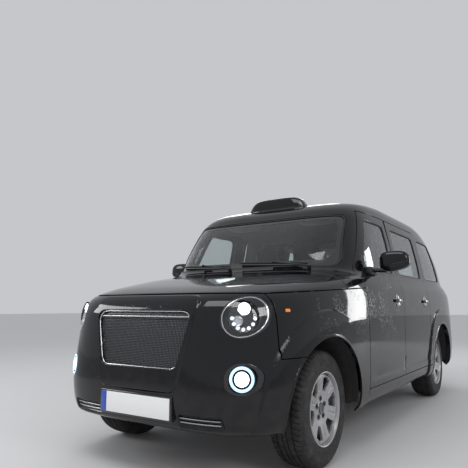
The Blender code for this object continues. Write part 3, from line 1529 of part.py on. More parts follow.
def make_rear_bench():
    floor = FLOOR_Z + FLOOR_THICKNESS + SEAT_GAP
    half = BENCH_WIDTH / 2
    rear_y = RISER_Y - FLOOR_THICKNESS - SEAT_GAP
    rounding = BENCH_BACK_THICKNESS * 0.2
    base = box(
        (-half + rounding * 2, BENCH_FRONT_Y + rounding * 2, floor), (half - rounding * 2, rear_y, floor + BENCH_HEIGHT - rounding * 2)
    )
    cushion = rounded_box(
        (-half, BENCH_FRONT_Y, floor + BENCH_HEIGHT - SEAT_CUSHION), (half, rear_y - SHUT_GAP, floor + BENCH_HEIGHT), rounding
    )
    back = rounded_box(
        (-half, rear_y - BENCH_BACK_THICKNESS, floor + BENCH_HEIGHT - rounding * 2),
        (half, rear_y - SHUT_GAP / 2, floor + BENCH_HEIGHT + BENCH_BACK_HEIGHT),
        rounding,
    )
    return keep(join(base, cushion, back), "rear_bench", "seat_cloth")


def make_partition():
    """The glazed screen behind the driver, with two tip-up seats folded against it."""
    floor = FLOOR_Z + FLOOR_THICKNESS + SEAT_GAP
    wall = box(
        (-HALF_WIDTH, PARTITION_Y, floor), (HALF_WIDTH, PARTITION_Y + PARTITION_THICKNESS, ROOF_HEIGHT)
    )
    wall = meet(wall, body_form(PILLAR_WALL + SIDE_GAP, open_below=True))
    outline = [
        (-PARTITION_WINDOW_X, PARTITION_WINDOW_BOTTOM_Z),
        (PARTITION_WINDOW_X, PARTITION_WINDOW_BOTTOM_Z),
        (PARTITION_WINDOW_X, PARTITION_WINDOW_TOP_Z),
        (-PARTITION_WINDOW_X, PARTITION_WINDOW_TOP_Z),
    ]
    wall = cut(wall, window_prism(outline, PARTITION_Y - OVERRUN, PARTITION_Y + OVERRUN, "Y"))
    for side in SIDES.values():
        low, high = sorted(
            (side * (TIP_SEAT_X - TIP_SEAT_WIDTH / 2), side * (TIP_SEAT_X + TIP_SEAT_WIDTH / 2))
        )
        seat = rounded_box(
            (low, PARTITION_Y + PARTITION_THICKNESS / 2, TIP_SEAT_BOTTOM_Z),
            (high, PARTITION_Y + PARTITION_THICKNESS + TIP_SEAT_THICKNESS, TIP_SEAT_BOTTOM_Z + TIP_SEAT_HEIGHT),
            TIP_SEAT_THICKNESS * 0.15,
        )
        wall = join(wall, seat)
    return keep(wall, "partition", "black_plastic")


def main():
    clear_scene()
    outer = body_form()
    outer.name = "outer_form"
    inner = body_form(SHELL_WALL, open_below=True)
    bpy.context.view_layer.update()
    make_front_bumper(outer, inner)
    make_grille()
    for word, side in SIDES.items():
        make_lamp(f"headlamp_{word}", HEADLAMP_X, HEADLAMP_Z, HEADLAMP_RADIUS, side, LAMP_DEPTH)
        make_lamp(f"fog_lamp_{word}", FOG_X, FOG_Z, FOG_RADIUS, side, LAMP_DEPTH)
        make_wing(f"wing_{word}", side, outer, inner)
        make_tail_lamp(f"tail_lamp_{word}", side)
        make_door(
            f"door_front_{word}",
            side,
            front_door_outline(),
            front_door_window(),
            DOOR_FRONT_Y,
            [],
        )
        make_door(
            f"door_rear_{word}",
            side,
            rear_door_outline(),
            rear_door_window(),
            DOOR_MIDDLE_Y,
            [rear_arch_space(0.0)],
        )
        make_side_glass(
            f"door_glass_front_{word}",
            side,
            front_door_window(-SEAT_GAP),
            (side * door_axis_x(DOOR_FRONT_Y), DOOR_FRONT_Y, 0),
        )
        make_side_glass(
            f"door_glass_rear_{word}",
            side,
            rear_door_window(-SEAT_GAP),
            (side * door_axis_x(DOOR_MIDDLE_Y), DOOR_MIDDLE_Y, 0),
        )
        make_side_glass(f"quarter_glass_{word}", side, quarter_window(-SEAT_GAP), (0, 0, 0))
    make_bonnet(outer, inner)
    make_tailgate(outer, inner)
    make_rear_bumper(outer, inner)
    make_body_shell(outer)
    screen = meet(
        screen_prism(-SEAT_GAP), skin_layer(GLASS_RECESS, GLASS_RECESS + GLASS_THICKNESS)
    )
    keep(screen, "windscreen", "tinted_glass")
    rear_glass = meet(
        rear_prism(rear_window_outline(-SEAT_GAP)),
        skin_layer(GLASS_RECESS, GLASS_RECESS + GLASS_THICKNESS),
    )
    keep(rear_glass, "tailgate_glass", "tinted_glass", (0, *tailgate_axis()))
    make_floor_pan()
    make_front_subframe()
    make_rear_axle()
    make_engine()
    for word, side in SIDES.items():
        make_knuckle(f"knuckle_{word}", side)
        make_mirror(f"mirror_{word}", side)
        for end, axle_y in (("front", FRONT_AXLE_Y), ("rear", REAR_AXLE_Y)):
            make_tyre(f"tyre_{end}_{word}", axle_y, side)
            make_rim(f"rim_{end}_{word}", axle_y, side)
    make_roof_sign()
    make_dashboard()
    make_steering_wheel()
    make_driver_seat()
    make_rear_bench()
    make_partition()
    bpy.data.objects.remove(outer)
    bpy.data.objects.remove(inner)


main()
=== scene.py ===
# Purpose-built taxi cab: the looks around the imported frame. Metres, +Z up, the cab faces -Y.
import math

import bmesh
import bpy
from mathutils import Matrix, Vector, interpolate
from mathutils.bvhtree import BVHTree


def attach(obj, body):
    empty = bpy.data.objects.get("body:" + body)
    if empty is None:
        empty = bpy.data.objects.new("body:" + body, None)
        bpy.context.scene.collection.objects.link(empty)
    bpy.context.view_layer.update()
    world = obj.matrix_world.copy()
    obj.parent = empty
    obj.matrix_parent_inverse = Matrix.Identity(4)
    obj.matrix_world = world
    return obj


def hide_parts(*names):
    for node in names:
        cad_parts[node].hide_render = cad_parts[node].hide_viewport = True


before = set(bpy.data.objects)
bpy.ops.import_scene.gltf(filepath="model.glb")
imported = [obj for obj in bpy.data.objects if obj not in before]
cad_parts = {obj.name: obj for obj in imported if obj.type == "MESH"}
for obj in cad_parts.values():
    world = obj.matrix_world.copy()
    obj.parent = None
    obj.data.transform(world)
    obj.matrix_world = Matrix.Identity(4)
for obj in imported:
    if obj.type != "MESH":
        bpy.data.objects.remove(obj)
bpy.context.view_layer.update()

# What the whole cab is set out from, the frame's own sizes but for wingFrontY: the panels part
# 35 mm further back than the frame's, so that the whole headlamp sits in the bumper panel
cab = {
    "noseY": -2.288, "tailY": 2.3, "halfWidth": 0.895, "roofZ": 1.84, "beltZ": 1.18,
    "beltShare": 0.6413, "frontAxleY": -1.555, "rearAxleY": 1.325, "axleZ": 0.335,
    "archRadius": 0.415, "wheelX": 0.7125,
    "doorFrontY": -0.94, "doorMiddleY": -0.064, "doorRearY": 0.85,
    "doorBottomZ": 0.375, "doorTopZ": 1.668, "pillarTopY": -0.655, "slant": 0.014,
    "wingFrontY": -2.0, "shoulderFrontZ": 1.003, "shoulderRearZ": 1.062,
    "bonnetRearY": -1.285, "bumperTopZ": 0.655, "rearBumperTopZ": 0.555, "rearBumperY": 1.95,
}
# How panels are finished: gaps between them, the roundness of their edges, and their walls
panelFinish = {"gap": 0.005, "edge": 0.0025, "thin": 0.012, "thick": 0.045, "cadGap": 0.008}

# The skin: rings round the cab, as in the frame but many more of them
# front reach, front height, side reach, side height, rear reach, rear height, corner powers
rings = (
    (0.945, 0.138, 0.935, 0.147, 0.96, 0.163, 5.0, 8.5),
    (0.985, 0.16, 0.968, 0.168, 0.987, 0.187, 5.2, 9.0),
    (0.996, 0.2, 0.983, 0.206, 0.996, 0.23, 5.2, 9.0),
    (1.0, 0.255, 0.993, 0.275, 1.0, 0.29, 5.2, 9.0),
    (0.997, 0.33, 0.998, 0.37, 0.998, 0.365, 5.0, 9.0),
    (0.992, 0.41, 1.0, 0.455, 0.99, 0.45, 4.8, 9.0),
    (0.985, 0.478, 0.998, 0.52, 0.98, 0.52, 4.7, 9.0),
    (0.972, 0.516, 0.99, 0.56, 0.97, 0.568, 4.6, 9.0),
    (0.95, 0.54, 0.977, 0.59, 0.959, 0.594, 4.5, 8.5),
    (0.895, 0.563, 0.963, 0.61, 0.948, 0.612, 4.4, 8.5),
    (0.725, 0.605, 0.953, 0.626, 0.937, 0.624, 4.4, 8.0),
    (0.548, 0.644, 0.944, 0.641, 0.924, 0.637, 4.5, 8.0),
    (0.48, 0.74, 0.912, 0.74, 0.895, 0.74, 5.2, 8.0),
    (0.415, 0.835, 0.872, 0.835, 0.85, 0.835, 6.0, 7.5),
    (0.375, 0.886, 0.842, 0.903, 0.808, 0.893, 6.5, 7.0),
    (0.342, 0.922, 0.812, 0.945, 0.775, 0.926, 6.0, 6.5),
    (0.29, 0.952, 0.766, 0.97, 0.73, 0.952, 5.5, 6.0),
    (0.2, 0.974, 0.64, 0.986, 0.65, 0.974, 4.5, 5.0),
    (0.06, 0.9925, 0.37, 0.9945, 0.49, 0.9935, 3.0, 3.0),
    (0.034, 0.9938, 0.21, 0.995, 0.29, 0.9948, 2.6, 2.6),
    (0.012, 0.9948, 0.06, 0.9953, 0.08, 0.9953, 2.2, 2.2),
)
skinFinish = {"rowsBetween": 6, "steps": 132, "turnShare": 0.5, "blendShare": 0.3}


def smooth(t):
    t = min(max(t, 0.0), 1.0)
    return t * t * (3 - 2 * t)


def level(share):
    beltShare, beltZ = cab["beltShare"], cab["beltZ"]
    if share <= beltShare:
        return beltZ * share / beltShare
    return beltZ + (cab["roofZ"] - beltZ) * (share - beltShare) / (1 - beltShare)


def steadyCurve(values, perGap):
    # a smooth run through the values that never overshoots them
    steps = [b - a for a, b in zip(values, values[1:])]
    slopes = [steps[0]]
    for before, after in zip(steps, steps[1:]):
        slopes.append(0.0 if before * after <= 0 else 2 * before * after / (before + after))
    slopes.append(steps[-1])
    run = []
    for i in range(len(steps)):
        for k in range(perGap):
            t = k / perGap
            run.append(
                values[i] * (1 + 2 * t) * (1 - t) ** 2 + slopes[i] * t * (1 - t) ** 2
                + values[i + 1] * t * t * (3 - 2 * t) + slopes[i + 1] * t * t * (t - 1)
            )
    return run + [values[-1]]


def ringPath(row):
    front, frontZ, side, sideZ, rear, rearZ, frontPower, rearPower = row
    dense, count = [], 360
    for i in range(count + 1):
        angle = math.pi * i / count
        power = frontPower if angle <= math.pi / 2 else rearPower
        reach = -cab["noseY"] * front if angle <= math.pi / 2 else cab["tailY"] * rear
        x = cab["halfWidth"] * side * abs(math.sin(angle)) ** (2 / power)
        y = -math.copysign(reach * abs(math.cos(angle)) ** (2 / power), math.cos(angle))
        dense.append(Vector((x, y)))
    total = sum((b - a).length for a, b in zip(dense, dense[1:]))
    walked, turnShare = [0.0], skinFinish["turnShare"]
    for i in range(1, count + 1):
        step = dense[i] - dense[i - 1]
        turn = step.angle(dense[i - 1] - dense[i - 2], 0.0) if i > 1 else 0.0
        walked.append(walked[-1] + (1 - turnShare) * step.length / total + turnShare * turn / math.pi)
    points, at, steps = [], 0, skinFinish["steps"]
    frontY, rearY = dense[0].y, dense[-1].y
    for i in range(steps + 1):
        want = walked[-1] * i / steps
        while at < count - 1 and walked[at + 1] < want:
            at += 1
        t = (want - walked[at]) / (walked[at + 1] - walked[at])
        point = dense[at].lerp(dense[at + 1], t)
        along = (point.y - frontY) / (rearY - frontY)
        share = sideZ + (frontZ - sideZ) * (1 - smooth(along / skinFinish["blendShare"]))
        share += (rearZ - sideZ) * smooth((along - 1) / skinFinish["blendShare"] + 1)
        points.append(Vector((point.x, point.y, level(share))))
    points[0].x = points[-1].x = 0.0
    return points


def makeSkin():
    columns = [steadyCurve(list(column), skinFinish["rowsBetween"]) for column in zip(*rings)]
    rows = [ringPath(row) for row in zip(*columns)]
    rows.append([Vector((0.0, point.y, point.z)) for point in rows[-1]])  # closes the crown of the roof
    bm = bmesh.new()
    bmesh.ops.create_grid(bm, x_segments=skinFinish["steps"], y_segments=len(rows) - 1, size=1)
    bm.verts.ensure_lookup_table()
    width = skinFinish["steps"] + 1
    for number, row in enumerate(rows):
        for i, point in enumerate(row):
            bm.verts[number * width + i].co = point
    bm.normal_update()
    middle = bm.faces[:][len(bm.faces) // 3]
    if middle.normal.x < 0 and middle.calc_center_median().x > 0.3:
        bmesh.ops.reverse_faces(bm, faces=bm.faces)
        bm.normal_update()
    for vert in bm.verts:  # the middle line has a neighbour only on one side
        if vert.co.x < 1e-6:
            flat = Vector((0, vert.normal.y, vert.normal.z))
            vert.normal = flat.normalized()
    return bm


skin = makeSkin()
skinMesh = bpy.data.meshes.new("skinHalf")
skin.to_mesh(skinMesh)
skinPoints = [v.co.copy() for v in skin.verts]
skinNormals = [v.normal.copy() for v in skin.verts]
skinTriangles = []
for skinFace in skin.faces:
    corners = [v.index for v in skinFace.verts]
    skinTriangles += [(corners[0], corners[1], corners[2]), (corners[0], corners[2], corners[3])]
skinTree = BVHTree.FromPolygons(skinPoints, skinTriangles)
skin.free()
print("skin made:", len(skinPoints), "points")


def skinAt(point):
    # the nearest place on the skin, and the way that the skin faces there
    side = -1 if point.x < 0 else 1
    place, _, index, _ = skinTree.find_nearest(Vector((point.x * side, point.y, point.z)))
    a, b, c = skinTriangles[index]
    weights = interpolate.poly_3d_calc([skinPoints[a], skinPoints[b], skinPoints[c]], place)
    way = skinNormals[a] * weights[0] + skinNormals[b] * weights[1] + skinNormals[c] * weights[2]
    way.normalize()
    return Vector((place.x * side, place.y, place.z)), Vector((way.x * side, way.y, way.z))


def skinHit(start, way):
    # where a line from outside meets the skin, and how the skin faces there
    side = -1 if start[0] < 0 else 1
    place, _, _, _ = skinTree.ray_cast(
        Vector((start[0] * side, start[1], start[2])), Vector((way[0] * side, way[1], way[2]))
    )
    return skinAt(Vector((place.x * side, place.y, place.z)))


# Outlines: convex runs of points in side view (y, z), end view (x, z) or plan (x, y)
def grown(points, distance):
    area = sum(points[i - 1][0] * points[i][1] - points[i][0] * points[i - 1][1] for i in range(len(points)))
    out = distance if area > 0 else -distance
    lines = []
    for i, a in enumerate(points):
        a, b = Vector(a), Vector(points[(i + 1) % len(points)])
        along = (b - a).normalized()
        lines.append((a + Vector((along.y, -along.x)) * out, along))
    moved = []
    for i in range(len(lines)):
        (p, d), (q, e) = lines[i - 1], lines[i]
        cross = d.x * e.y - d.y * e.x
        t = 0.0 if abs(cross) < 1e-9 else ((q.x - p.x) * e.y - (q.y - p.y) * e.x) / cross
        moved.append(p + d * t if abs(cross) >= 1e-9 else q)
    return moved


def rounded(points, radius, steps=5):
    made = []
    for i, corner in enumerate(points):
        corner = Vector(corner)
        before, after = Vector(points[i - 1]) - corner, Vector(points[(i + 1) % len(points)]) - corner
        half = before.angle(after) / 2
        reach = min(radius / math.tan(half), before.length * 0.48, after.length * 0.48)
        first, last = corner + before.normalized() * reach, corner + after.normalized() * reach
        for step in range(steps + 1):
            t = step / steps
            made.append(first * (1 - t) ** 2 + corner * 2 * t * (1 - t) + last * t * t)
    return made


def ellipse(centre, reachAcross, reachUp, steps=64):
    turns = [2 * math.pi * i / steps for i in range(steps)]
    return [Vector((centre[0] + reachAcross * math.cos(a), centre[1] + reachUp * math.sin(a))) for a in turns]


def circle(centre, radius, steps=64):
    return ellipse(centre, radius, radius, steps)


viewAxes = {"side": (1, 2), "end": (0, 2), "plan": (0, 1)}


def splitFaces(bm, faces, outline, view):
    # cuts the faces along a convex outline seen in a view; gives those inside and outside it
    first, second = viewAxes[view]
    middle = sum((Vector(p) for p in outline), Vector((0, 0))) / len(outline)
    low = [min(p[k] for p in outline) for k in range(2)]
    high = [max(p[k] for p in outline) for k in range(2)]
    inside, outside = [], []
    for face in faces:
        a = [v.co[first] for v in face.verts]
        b = [v.co[second] for v in face.verts]
        clear = max(a) < low[0] or min(a) > high[0] or max(b) < low[1] or min(b) > high[1]
        (outside if clear else inside).append(face)
    for i, here in enumerate(outline):
        there = outline[(i + 1) % len(outline)]
        if (Vector(there) - Vector(here)).length < 1e-7:
            continue
        place, way = Vector((0, 0, 0)), Vector((0, 0, 0))
        place[first], place[second] = here
        way[first], way[second] = there[1] - here[1], here[0] - there[0]
        way.normalize()
        if (middle[0] - here[0]) * way[first] + (middle[1] - here[1]) * way[second] > 0:
            way.negate()
        away = way.dot(place)
        kept, crossing = [], []
        for face in inside:
            reach = [way.dot(v.co) - away for v in face.verts]
            if max(reach) < 1e-6:
                kept.append(face)
            elif min(reach) > -1e-6:
                outside.append(face)
            else:
                crossing.append(face)
        if crossing:
            geom = list({g for f in crossing for g in (f, *f.edges, *f.verts)})
            cutting = bmesh.ops.bisect_plane(bm, geom=geom, dist=1e-6, plane_co=place, plane_no=way)
            for g in cutting["geom"]:
                if isinstance(g, bmesh.types.BMFace):
                    (kept if way.dot(g.calc_center_median()) < away else outside).append(g)
        inside = kept
    return inside, outside


def skinPatch(zone):
    # the left half's skin faces near a box given as (low y, high y, low z, high z)
    bm = bmesh.new()
    bm.from_mesh(skinMesh)
    far = []
    for face in bm.faces:
        ys = [v.co.y for v in face.verts]
        zs = [v.co.z for v in face.verts]
        if max(ys) < zone[0] or min(ys) > zone[1] or max(zs) < zone[2] or min(zs) > zone[3]:
            far.append(face)
    bmesh.ops.delete(bm, geom=far, context="FACES")
    return bm


def keepInside(bm, outline, view):
    _, outside = splitFaces(bm, bm.faces[:], outline, view)
    bmesh.ops.delete(bm, geom=outside, context="FACES")


def cutHole(bm, outline, view, only=None):
    faces = [f for f in bm.faces if only is None or only(f.calc_center_median())]
    inside, _ = splitFaces(bm, faces, outline, view)
    bmesh.ops.delete(bm, geom=inside, context="FACES")


def scoreLine(bm, outline, view, only=None):
    faces = [f for f in bm.faces if only is None or only(f.calc_center_median())]
    return splitFaces(bm, faces, outline, view)[0]


def mirrorOver(bm):
    # adds the right half of a patch that was made on the left
    bmesh.ops.mirror(bm, geom=bm.verts[:] + bm.edges[:] + bm.faces[:], axis="X", merge_dist=1e-5)


def turnOver(bm):
    # turns a left-hand patch into a right-hand one
    bmesh.ops.scale(bm, vec=(-1, 1, 1), verts=bm.verts)
    bmesh.ops.reverse_faces(bm, faces=bm.faces)


# Raised and sunk forms of the skin, in metres along its own facing
relief = {
    "flareRadius": 0.578, "flareBand": 0.013, "flareHeight": 0.014,
    "lipRadius": 0.432, "lipBand": 0.01, "lipHeight": 0.004,
    "shield": ((-0.395, 0.978), (-0.292, 0.52), (-0.262, 0.478), (0.262, 0.478), (0.292, 0.52), (0.395, 0.978)),
    "shieldCorner": 0.05, "shieldBand": 0.013, "shieldHeight": 0.012,
    "slot": ((0.3, 0.3), (0.56, 0.3), (0.56, 0.362), (0.3, 0.362)),
    "slotBand": 0.012, "slotDepth": 0.018,
    "sillZ": 0.415, "sillBand": 0.02, "sillHeight": 0.007, "sillTop": 0.11, "sillFade": 0.09, "doorFade": 0.03,
}
shieldOutline = rounded(relief["shield"], relief["shieldCorner"])
slotOutline = rounded(relief["slot"], 0.016)


def insideBy(outline, x, z):
    # how far a place is inside a convex outline: negative outside
    middle = sum((Vector(p) for p in outline), Vector((0, 0))) / len(outline)
    reach = 1e9
    for i, a in enumerate(outline):
        a, b = Vector(a), Vector(outline[(i + 1) % len(outline)])
        if (b - a).length < 1e-7:
            continue
        across = Vector((b.y - a.y, a.x - b.x)).normalized()
        if across.dot(middle - a) < 0:
            across.negate()
        reach = min(reach, across.dot(Vector((x, z)) - a))
    return reach


def reliefAt(p, way):
    x, side = abs(p.x), smooth((abs(way.x) - 0.28) / 0.32)
    rise = 0.0
    if side > 0 and p.z < 1.0:
        for axleY in (cab["frontAxleY"], cab["rearAxleY"]):
            r = math.hypot(p.y - axleY, p.z - cab["axleZ"])
            rise += relief["flareHeight"] * side * smooth((relief["flareRadius"] - r) / relief["flareBand"])
            rise += relief["lipHeight"] * side * smooth((relief["lipRadius"] - r) / relief["lipBand"])
        between = smooth((p.y - cab["doorFrontY"] - 0.03) / relief["doorFade"])
        between *= smooth((cab["doorRearY"] - 0.05 - p.y) / relief["doorFade"])
        low = smooth((p.z - relief["sillZ"]) / relief["sillBand"])
        high = smooth((relief["sillZ"] + relief["sillTop"] - p.z) / relief["sillFade"])
        rise -= relief["sillHeight"] * side * between * low * high
    if p.y < -1.6 and way.y < -0.3:
        front = smooth((-way.y - 0.3) / 0.3)
        if x < 0.46 and 0.4 < p.z < 1.02:
            share = insideBy(shieldOutline, x, p.z) / relief["shieldBand"] + 1
            rise += front * relief["shieldHeight"] * smooth(share)
        if x < 0.62 and p.z < 0.42:
            rise -= front * relief["slotDepth"] * smooth(insideBy(slotOutline, x, p.z) / relief["slotBand"] + 0.5)
    return rise


def vertsIn(geometry):
    return [g for g in geometry if isinstance(g, bmesh.types.BMVert)]


# From a patch of skin to a panel with a rounded edge and a wall
def asPanel(bm, depth, edge, sunk=0.0, plain=False):
    # gives the patch its relief, a rounded edge that ends 'edge' further out, and a wall of 'depth'
    bmesh.ops.remove_doubles(bm, verts=bm.verts, dist=2e-5)
    bmesh.ops.dissolve_degenerate(bm, dist=1e-5, edges=bm.edges)
    bm.normal_update()
    layers = bm.verts.layers
    base, out = layers.float_vector.new("base"), layers.float_vector.new("out")
    facing, deep = layers.float_vector.new("facing"), layers.float.new("deep")
    plainFace = bm.faces.layers.int.new("kind")
    height = {}
    for vert in bm.verts:
        place, way = skinAt(vert.co)
        rise = 0.0 if plain else reliefAt(place, way)
        height[vert] = rise
        vert[facing] = way
        vert[base] = vert.co + way * (rise - sunk)
    for face in bm.faces:
        rises = [height[v] for v in face.verts]
        face[plainFace] = 2 if max(rises) - min(rises) > 2e-5 else 1
    for vert in bm.verts:
        rim = [e for e in vert.link_edges if e.is_boundary]
        if len(rim) < 2:
            continue
        way = vert[facing]
        ways = []
        for e in rim[:2]:
            along = (e.other_vert(vert).co - vert.co).normalized()
            across = along.cross(way).normalized()
            inward = e.link_faces[0].calc_center_median() - (e.verts[0].co + e.verts[1].co) / 2
            ways.append(-across if across.dot(inward) > 0 else across)
        total = ways[0] + ways[1]
        if total.length > 1e-3:
            total.normalize()
            vert[out] = total / max(total.dot(ways[0]), 0.6)
    grownGeom = bmesh.ops.extrude_face_region(bm, geom=bm.faces[:], use_keep_orig=True)["geom"]
    newVerts = vertsIn(grownGeom)
    for vert in newVerts:
        vert[deep] = 1.0
    for face in bm.faces:
        marks = [v[deep] > 0.5 for v in face.verts]
        if all(marks):
            face[plainFace] = 0
            face.material_index = 1
        elif any(marks):
            face[plainFace] = 3
    walls = [e for e in bm.edges if (e.verts[0][deep] > 0.5) != (e.verts[1][deep] > 0.5)]
    bmesh.ops.subdivide_edges(bm, edges=walls, cuts=3, use_grid_fill=False)
    for vert in bm.verts:
        way, side, at = vert[facing], vert[out], vert[deep]
        if at > 0.9:
            vert.co = vert[base] + side * edge - way * depth
        elif at > 0.6:
            vert.co = vert[base] + side * edge - way * edge * 1.6
        elif at > 0.4:
            vert.co = vert[base] + side * edge - way * edge
        elif at > 0.1:
            vert.co = vert[base] + side * edge * 0.7071 - way * edge * 0.2929
        else:
            vert.co = vert[base]
    bmesh.ops.recalc_face_normals(bm, faces=bm.faces)
    return bm


def meshFromPanel(bm, name, materials):
    layers = bm.verts.layers
    facing, out, deep = layers.float_vector["facing"], layers.float_vector["out"], layers.float["deep"]
    kind = bm.faces.layers.int["kind"]
    test = next((f for f in bm.faces if f[kind] == 1), None)
    if test is not None and test.normal.dot(test.verts[0][facing]) < 0:
        bmesh.ops.reverse_faces(bm, faces=bm.faces)
    bm.normal_update()
    ways = []
    for face in bm.faces:
        face.smooth = True
        what = face[kind]
        for vert in face.verts:
            at, side = vert[deep], vert[out]
            if what == 1 or (what == 3 and at < 0.1):
                ways.append(vert[facing].normalized())
            elif what == 3 and at < 0.4 and side.length > 0.1:
                ways.append((vert[facing] + side.normalized()).normalized())
            elif what == 3 and side.length > 0.1:
                ways.append(side.normalized())
            else:
                ways.append(Vector((0, 0, 0)))
    mesh = bpy.data.meshes.new(name)
    bm.to_mesh(mesh)
    bm.free()
    for layer in ("base", "out", "facing", "deep", "kind"):
        mesh.attributes.remove(mesh.attributes[layer])
    mesh.set_sharp_from_angle(angle=math.radians(34))
    mesh.normals_split_custom_set(ways)
    for material in materials:
        mesh.materials.append(material)
    return mesh


def place(name, mesh, body, replaced=(), slotName=None, materials=()):
    # puts a finished mesh, or bmesh, into the scene on its body
    if isinstance(mesh, bmesh.types.BMesh):
        bm, mesh = mesh, bpy.data.meshes.new(name)
        bm.to_mesh(mesh)
        bm.free()
    for material in materials:
        mesh.materials.append(material)
    piece = bpy.data.objects.new(name, mesh)
    bpy.context.scene.collection.objects.link(piece)
    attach(piece, body)
    if replaced:
        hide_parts(*replaced)
    return piece


def shadeSmooth(bm, angle=34):
    # smooth faces, with sharp edges where they turn more than the angle
    limit = math.radians(angle)
    for face in bm.faces:
        face.smooth = True
    for edge in bm.edges:
        if len(edge.link_faces) == 2 and edge.calc_face_angle(0.0) > limit:
            edge.smooth = False


class Wire:
    # A shader socket that can stand in a sum: 1 - mask adds its own Math node
    def __init__(self, finish, socket):
        self.finish, self.socket = finish, socket

    def __add__(self, other):
        return self.finish.maths("ADD", self, other)

    def __sub__(self, other):
        return self.finish.maths("SUBTRACT", self, other)

    def __rsub__(self, other):
        return self.finish.maths("SUBTRACT", other, self)

    def __mul__(self, other):
        return self.finish.maths("MULTIPLY", self, other)

    def above(self, limit):
        return self.finish.maths("GREATER_THAN", self, limit)

    __radd__ = __add__
    __rmul__ = __mul__


class Finish:
    def __init__(self, name, color=(0.5, 0.5, 0.5), **sockets):
        self.material = bpy.data.materials.new(name)
        self.material.use_nodes = True
        self.tree = self.material.node_tree
        self.shader = self.tree.nodes["Principled BSDF"]
        self.feed(self.shader.inputs["Base Color"], (*color, 1.0))
        for key, value in sockets.items():
            self.feed(self.shader.inputs[key.replace("_", " ")], value)
        self.spot = self.node("ShaderNodeTexCoord").outputs["Object"]
        self.spot = Wire(self, self.spot)

    def node(self, kind, settings=None, **sockets):
        made = self.tree.nodes.new(kind)
        for key, value in (settings or {}).items():
            if key == "stops":
                ramp = made.color_ramp.elements
                for i, (at, color) in enumerate(value):
                    stop = ramp[i] if i < 2 else ramp.new(at)
                    stop.position, stop.color = at, (*color, 1.0)
            else:
                setattr(made, key, value)
        for key, value in sockets.items():
            at = int(key[2:]) if key.startswith("in") and key[2:].isdigit() else key.replace("_", " ")
            self.feed(made.inputs[at], value)
        return made

    def feed(self, socket, value):
        if isinstance(value, Wire):
            self.tree.links.new(value.socket, socket)
        else:
            socket.default_value = value

    def maths(self, operation, first, second):
        made = self.node("ShaderNodeMath", {"operation": operation}, in0=first, in1=second)
        return Wire(self, made.outputs[0])

    def pick(self, kind, output, settings=None, **sockets):
        return Wire(self, self.node(kind, settings, **sockets).outputs[output])

    def noise(self, scale, detail=3.0, rough=0.5):
        return self.pick("ShaderNodeTexNoise", "Fac", None, Vector=self.spot, Scale=scale, Detail=detail,
                         Roughness=rough)

    def cells(self, scale, output="Distance", feature="F1", vector=None):
        return self.pick("ShaderNodeTexVoronoi", output, {"feature": feature}, Vector=vector or self.spot,
                         Scale=scale)

    def axes(self):
        parts = self.node("ShaderNodeSeparateXYZ", None, Vector=self.spot)
        return [Wire(self, parts.outputs[i]) for i in range(3)]

    def spread(self, value, low, high, first, last):
        made = self.node("ShaderNodeMapRange", {"interpolation_type": "SMOOTHSTEP"}, Value=value)
        for key, number in (("From Min", low), ("From Max", high), ("To Min", first), ("To Max", last)):
            self.feed(made.inputs[key], number)
        return Wire(self, made.outputs["Result"])

    def blend(self, share, first, second):
        made = self.node("ShaderNodeMix", {"data_type": "RGBA"}, Factor=share)
        self.feed(made.inputs[6], first if isinstance(first, Wire) else (*first, 1.0))
        self.feed(made.inputs[7], second if isinstance(second, Wire) else (*second, 1.0))
        return Wire(self, made.outputs[2])

    def bump(self, height, strength, distance=0.001, after=None):
        made = self.node("ShaderNodeBump", None, Height=height, Strength=strength, Distance=distance)
        if after is not None:
            self.feed(made.inputs["Normal"], after)
        return Wire(self, made.outputs["Normal"])

    def color(self, value):
        self.feed(self.shader.inputs["Base Color"], value)

    def rough(self, value):
        self.feed(self.shader.inputs["Roughness"], value)

    def normal(self, value):
        self.feed(self.shader.inputs["Normal"], value)


def paintFinish(name, drops=True):
    paint = Finish(name, (0.0035, 0.0037, 0.005))
    paint.shader.inputs["Specular IOR Level"].default_value = 0.42
    peel = paint.bump(paint.noise(90.0, 2.0), 0.01, 0.001)
    road = 1 - paint.spread(paint.axes()[2], 0.25, 0.75, 0.0, 1.0)  # a film of road dirt low down
    film = paint.spread(paint.noise(14.0, 5.0, 0.6), 0.35, 0.75, 0.0, 1.0) * road
    paint.color(paint.blend(film * 0.55, (0.0035, 0.0037, 0.005), (0.022, 0.02, 0.019)))
    paint.rough(film * 0.22 + 0.035)
    if drops:
        bead = paint.spread(paint.cells(135.0), 0.05, 0.4, 1.0, 0.0)
        wet = paint.spread(paint.noise(7.0, 3.0), 0.44, 0.6, 0.0, 1.0)
        wet = wet * paint.spread(paint.noise(45.0, 1.0), 0.46, 0.6, 0.0, 1.0)
        peel = paint.bump(bead * wet, 0.3, 0.0014, peel)
    paint.normal(peel)
    return paint.material


def plasticFinish(name, color, roughness=0.5, grain=900.0, strength=0.12, **sockets):
    made = Finish(name, color, **sockets)
    cells = made.cells(grain, feature="SMOOTH_F1")
    made.normal(made.bump(cells, strength, 0.0006))
    shade = made.noise(6.0, 4.0)
    made.color(made.blend(made.spread(shade, 0.3, 0.7, 0.0, 1.0), color, tuple(c * 1.25 + 0.002 for c in color)))
    made.rough(made.spread(made.noise(30.0), 0.3, 0.7, roughness - 0.06, roughness + 0.06))
    return made.material


